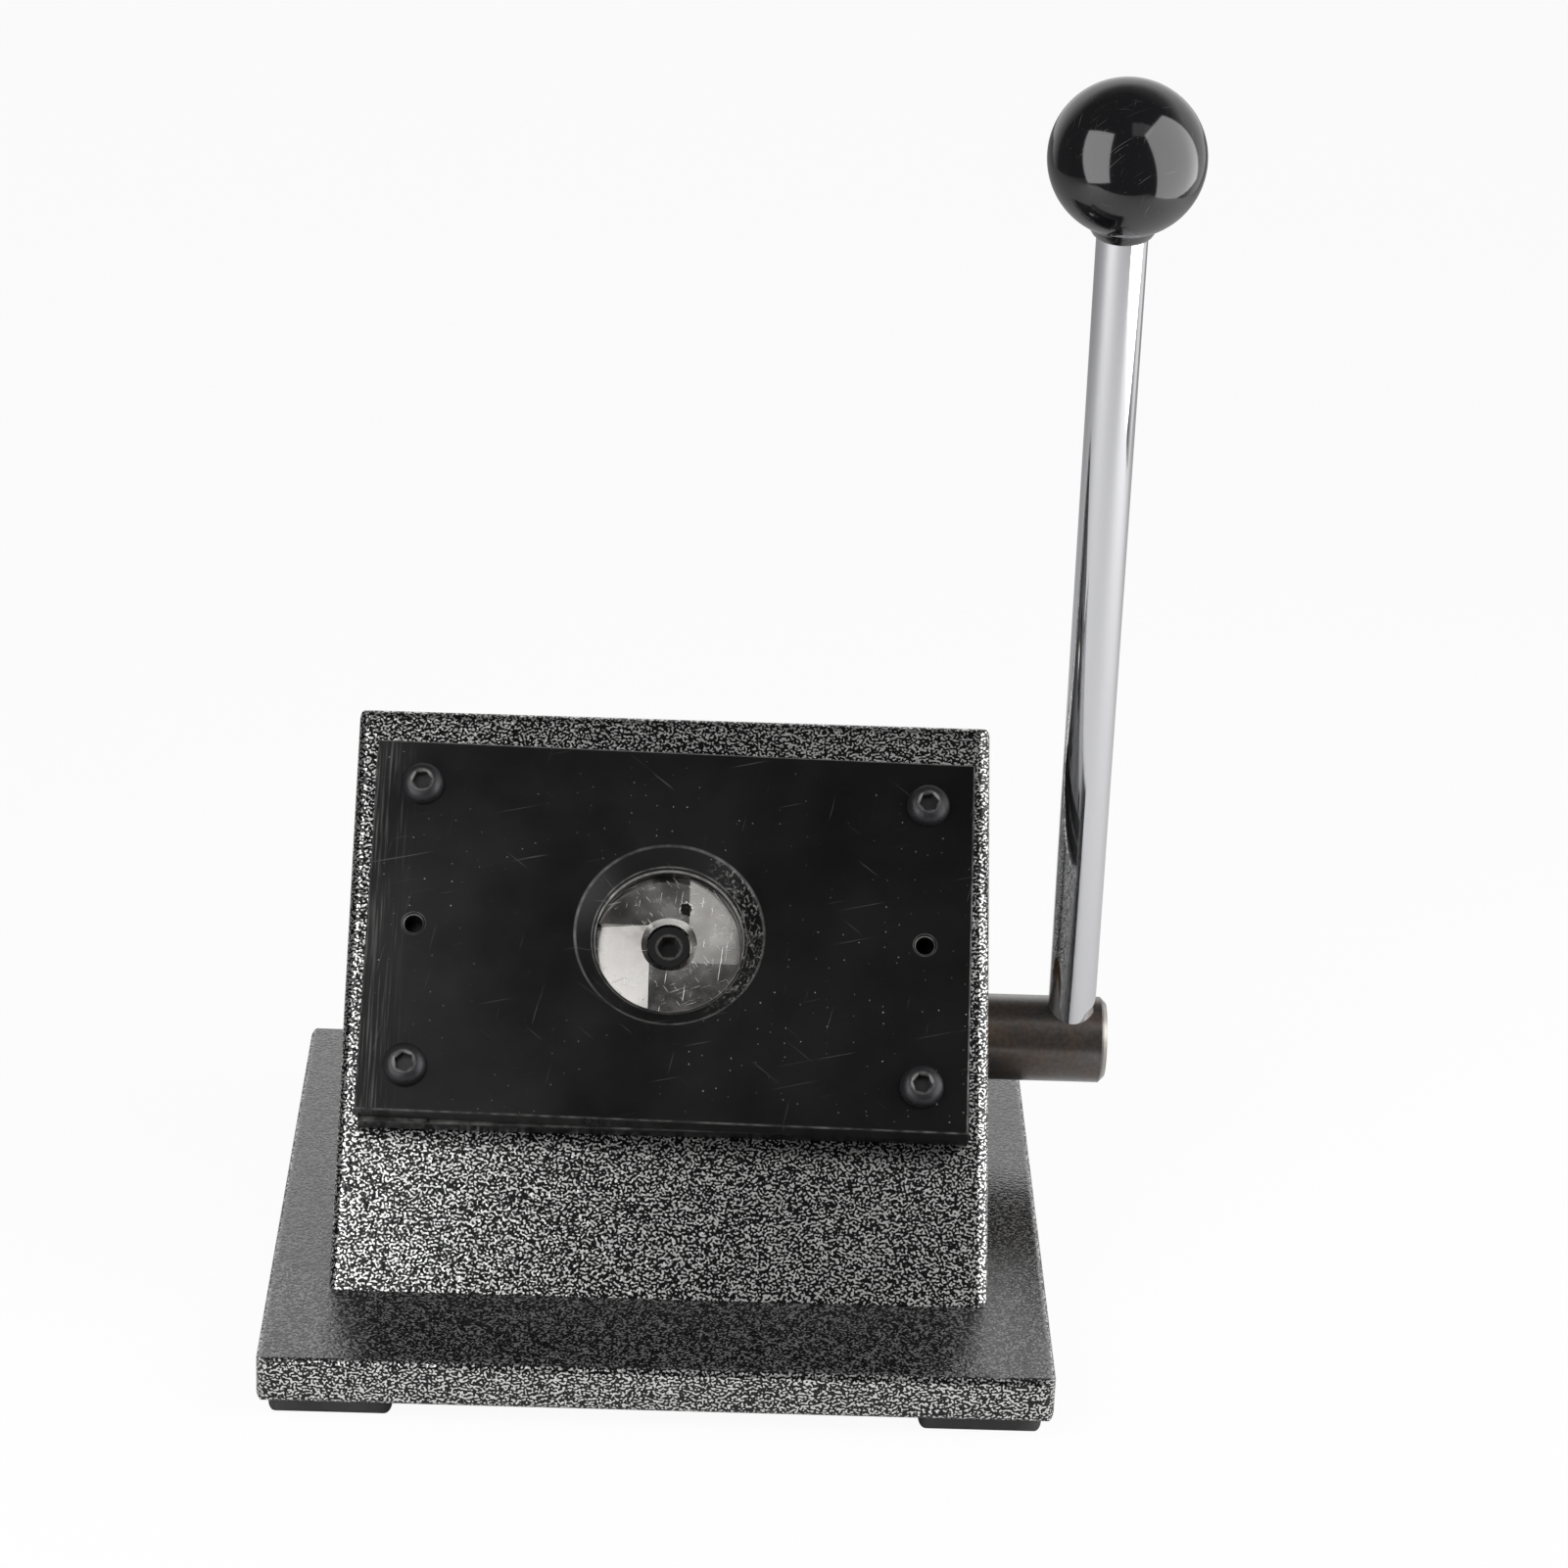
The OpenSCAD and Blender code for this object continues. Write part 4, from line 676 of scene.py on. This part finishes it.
floor_mesh = bmesh.new()
floor_corners = [(-0.6, -0.36), (0.3, -0.36), (0.43, -0.14), (0.52, 0.4),
                 (1.5, 2.2), (-1.5, 2.2), (-0.6, 0.6)]
floor_mesh.faces.new([floor_mesh.verts.new((x, y, -FLOOR_DROP)) for x, y in floor_corners])
white, tree, place = new_finish("white_table")
path = add_node(tree, "ShaderNodeLightPath", {}, {})
glow_share = add_node(tree, "ShaderNodeMath", {"operation": "MULTIPLY"}, {
    0: path["Is Camera Ray"], 1: TABLE_GLOW})[0]
card = add_node(tree, "ShaderNodeBsdfDiffuse", {}, {"Color": linear("#dcdcdc")})[0]
glow = add_node(tree, "ShaderNodeEmission", {}, {"Color": linear("#ffffff"), "Strength": 1.0})[0]
table_light = add_node(tree, "ShaderNodeMixShader", {}, {0: glow_share, 1: card, 2: glow})[0]
add_node(tree, "ShaderNodeOutputMaterial", {}, {"Surface": table_light})
table_top = make_piece("table_top", floor_mesh, white)

world = bpy.data.worlds.new("studio")
bpy.context.scene.world = world
world.use_nodes = True
world.node_tree.nodes.clear()
tree = world.node_tree
path = add_node(tree, "ShaderNodeLightPath", {}, {})
toward = add_node(tree, "ShaderNodeTexCoord", {}, {})["Generated"]
toward = add_node(tree, "ShaderNodeSeparateXYZ", {}, {0: toward})
wall_top = add_node(tree, "ShaderNodeMapRange", {}, {
    "Value": toward["Z"], "From Min": 0.48, "From Max": 0.7,
    "To Min": WHITE_WALL, "To Max": WALL_TOP})[0]
to_right = add_node(tree, "ShaderNodeMath", {"operation": "MAXIMUM"}, {0: toward["X"], 1: 0.0})[0]
wall_side = add_node(tree, "ShaderNodeMath", {"operation": "MULTIPLY_ADD"}, {
    0: to_right, 1: WALL_TO_RIGHT, 2: toward["Y"]})[0]
behind = add_node(tree, "ShaderNodeMapRange", {}, {
    "Value": wall_side, "From Min": 0.5, "From Max": 0.82,
    "To Min": DARK_ROOM, "To Max": wall_top})[0]
mirrored = add_node(tree, "ShaderNodeMath", {"operation": "MAXIMUM"}, {
    0: path["Is Glossy Ray"], 1: path["Is Transmission Ray"]})[0]
level = add_node(tree, "ShaderNodeMix", {"data_type": "FLOAT"}, {
    0: mirrored, 2: SOFT_FILL, 3: behind})[0]
level = add_node(tree, "ShaderNodeMix", {"data_type": "FLOAT"}, {
    0: path["Is Camera Ray"], 2: level, 3: 1.0})[0]
air = add_node(tree, "ShaderNodeBackground", {}, {"Color": linear("#ffffff"), "Strength": level})[0]
add_node(tree, "ShaderNodeOutputWorld", {}, {"Surface": air})

for name, radiance, corners in (
        ("left_softbox", 3.4, ((-438, -215, 40), (-189, -498, 40), (-322, -125, 560), (-92, -290, 660))),
        ("right_softbox", 3.2, ((352, -246, 0), (560, 204, 0), (283, -469, 740), (600, 72, 1010))),
        ("ceiling_card", 0.5, ((90, -350, 640), (290, -350, 640), (90, -160, 610), (290, -160, 610)))):
    low_left, low_right, high_left, high_right = (Vector(corner) * MM for corner in corners)
    across = (low_right - low_left + high_right - high_left) / 2
    rise = (high_left - low_left + high_right - low_right) / 2
    outward = across.cross(rise).normalized()
    side = across.normalized()
    lamp = bpy.data.lights.new(name, "AREA")
    lamp.shape, lamp.size, lamp.size_y = "RECTANGLE", across.length, rise.length
    lamp.energy = radiance * math.pi * across.length * rise.length
    holder = bpy.data.objects.new(name, lamp)
    holder.matrix_world = Matrix.Translation((low_left + low_right + high_left + high_right) / 4) @ (
        Matrix((side, outward.cross(side), outward)).transposed().to_4x4())
    holder.visible_camera = False
    bpy.context.scene.collection.objects.link(holder)

ahead = Vector((math.sin(YAW) * math.cos(PITCH), math.cos(YAW) * math.cos(PITCH), -math.sin(PITCH)))
right = Vector((math.cos(YAW), -math.sin(YAW), 0))
up = right.cross(ahead)
across = right * math.cos(ROLL) + up * math.sin(ROLL)
above = up * math.cos(ROLL) - right * math.sin(ROLL)
lens = bpy.data.cameras.new("camera")
lens.lens, lens.sensor_width = LENS, SENSOR
camera = bpy.data.objects.new("camera", lens)
camera.matrix_world = Matrix.Translation(CAMERA_PLACE) @ (
    Matrix((across, above, -ahead)).transposed().to_4x4())
bpy.context.scene.collection.objects.link(camera)
bpy.context.scene.camera = camera
bpy.context.scene.view_settings.view_transform = "Standard"
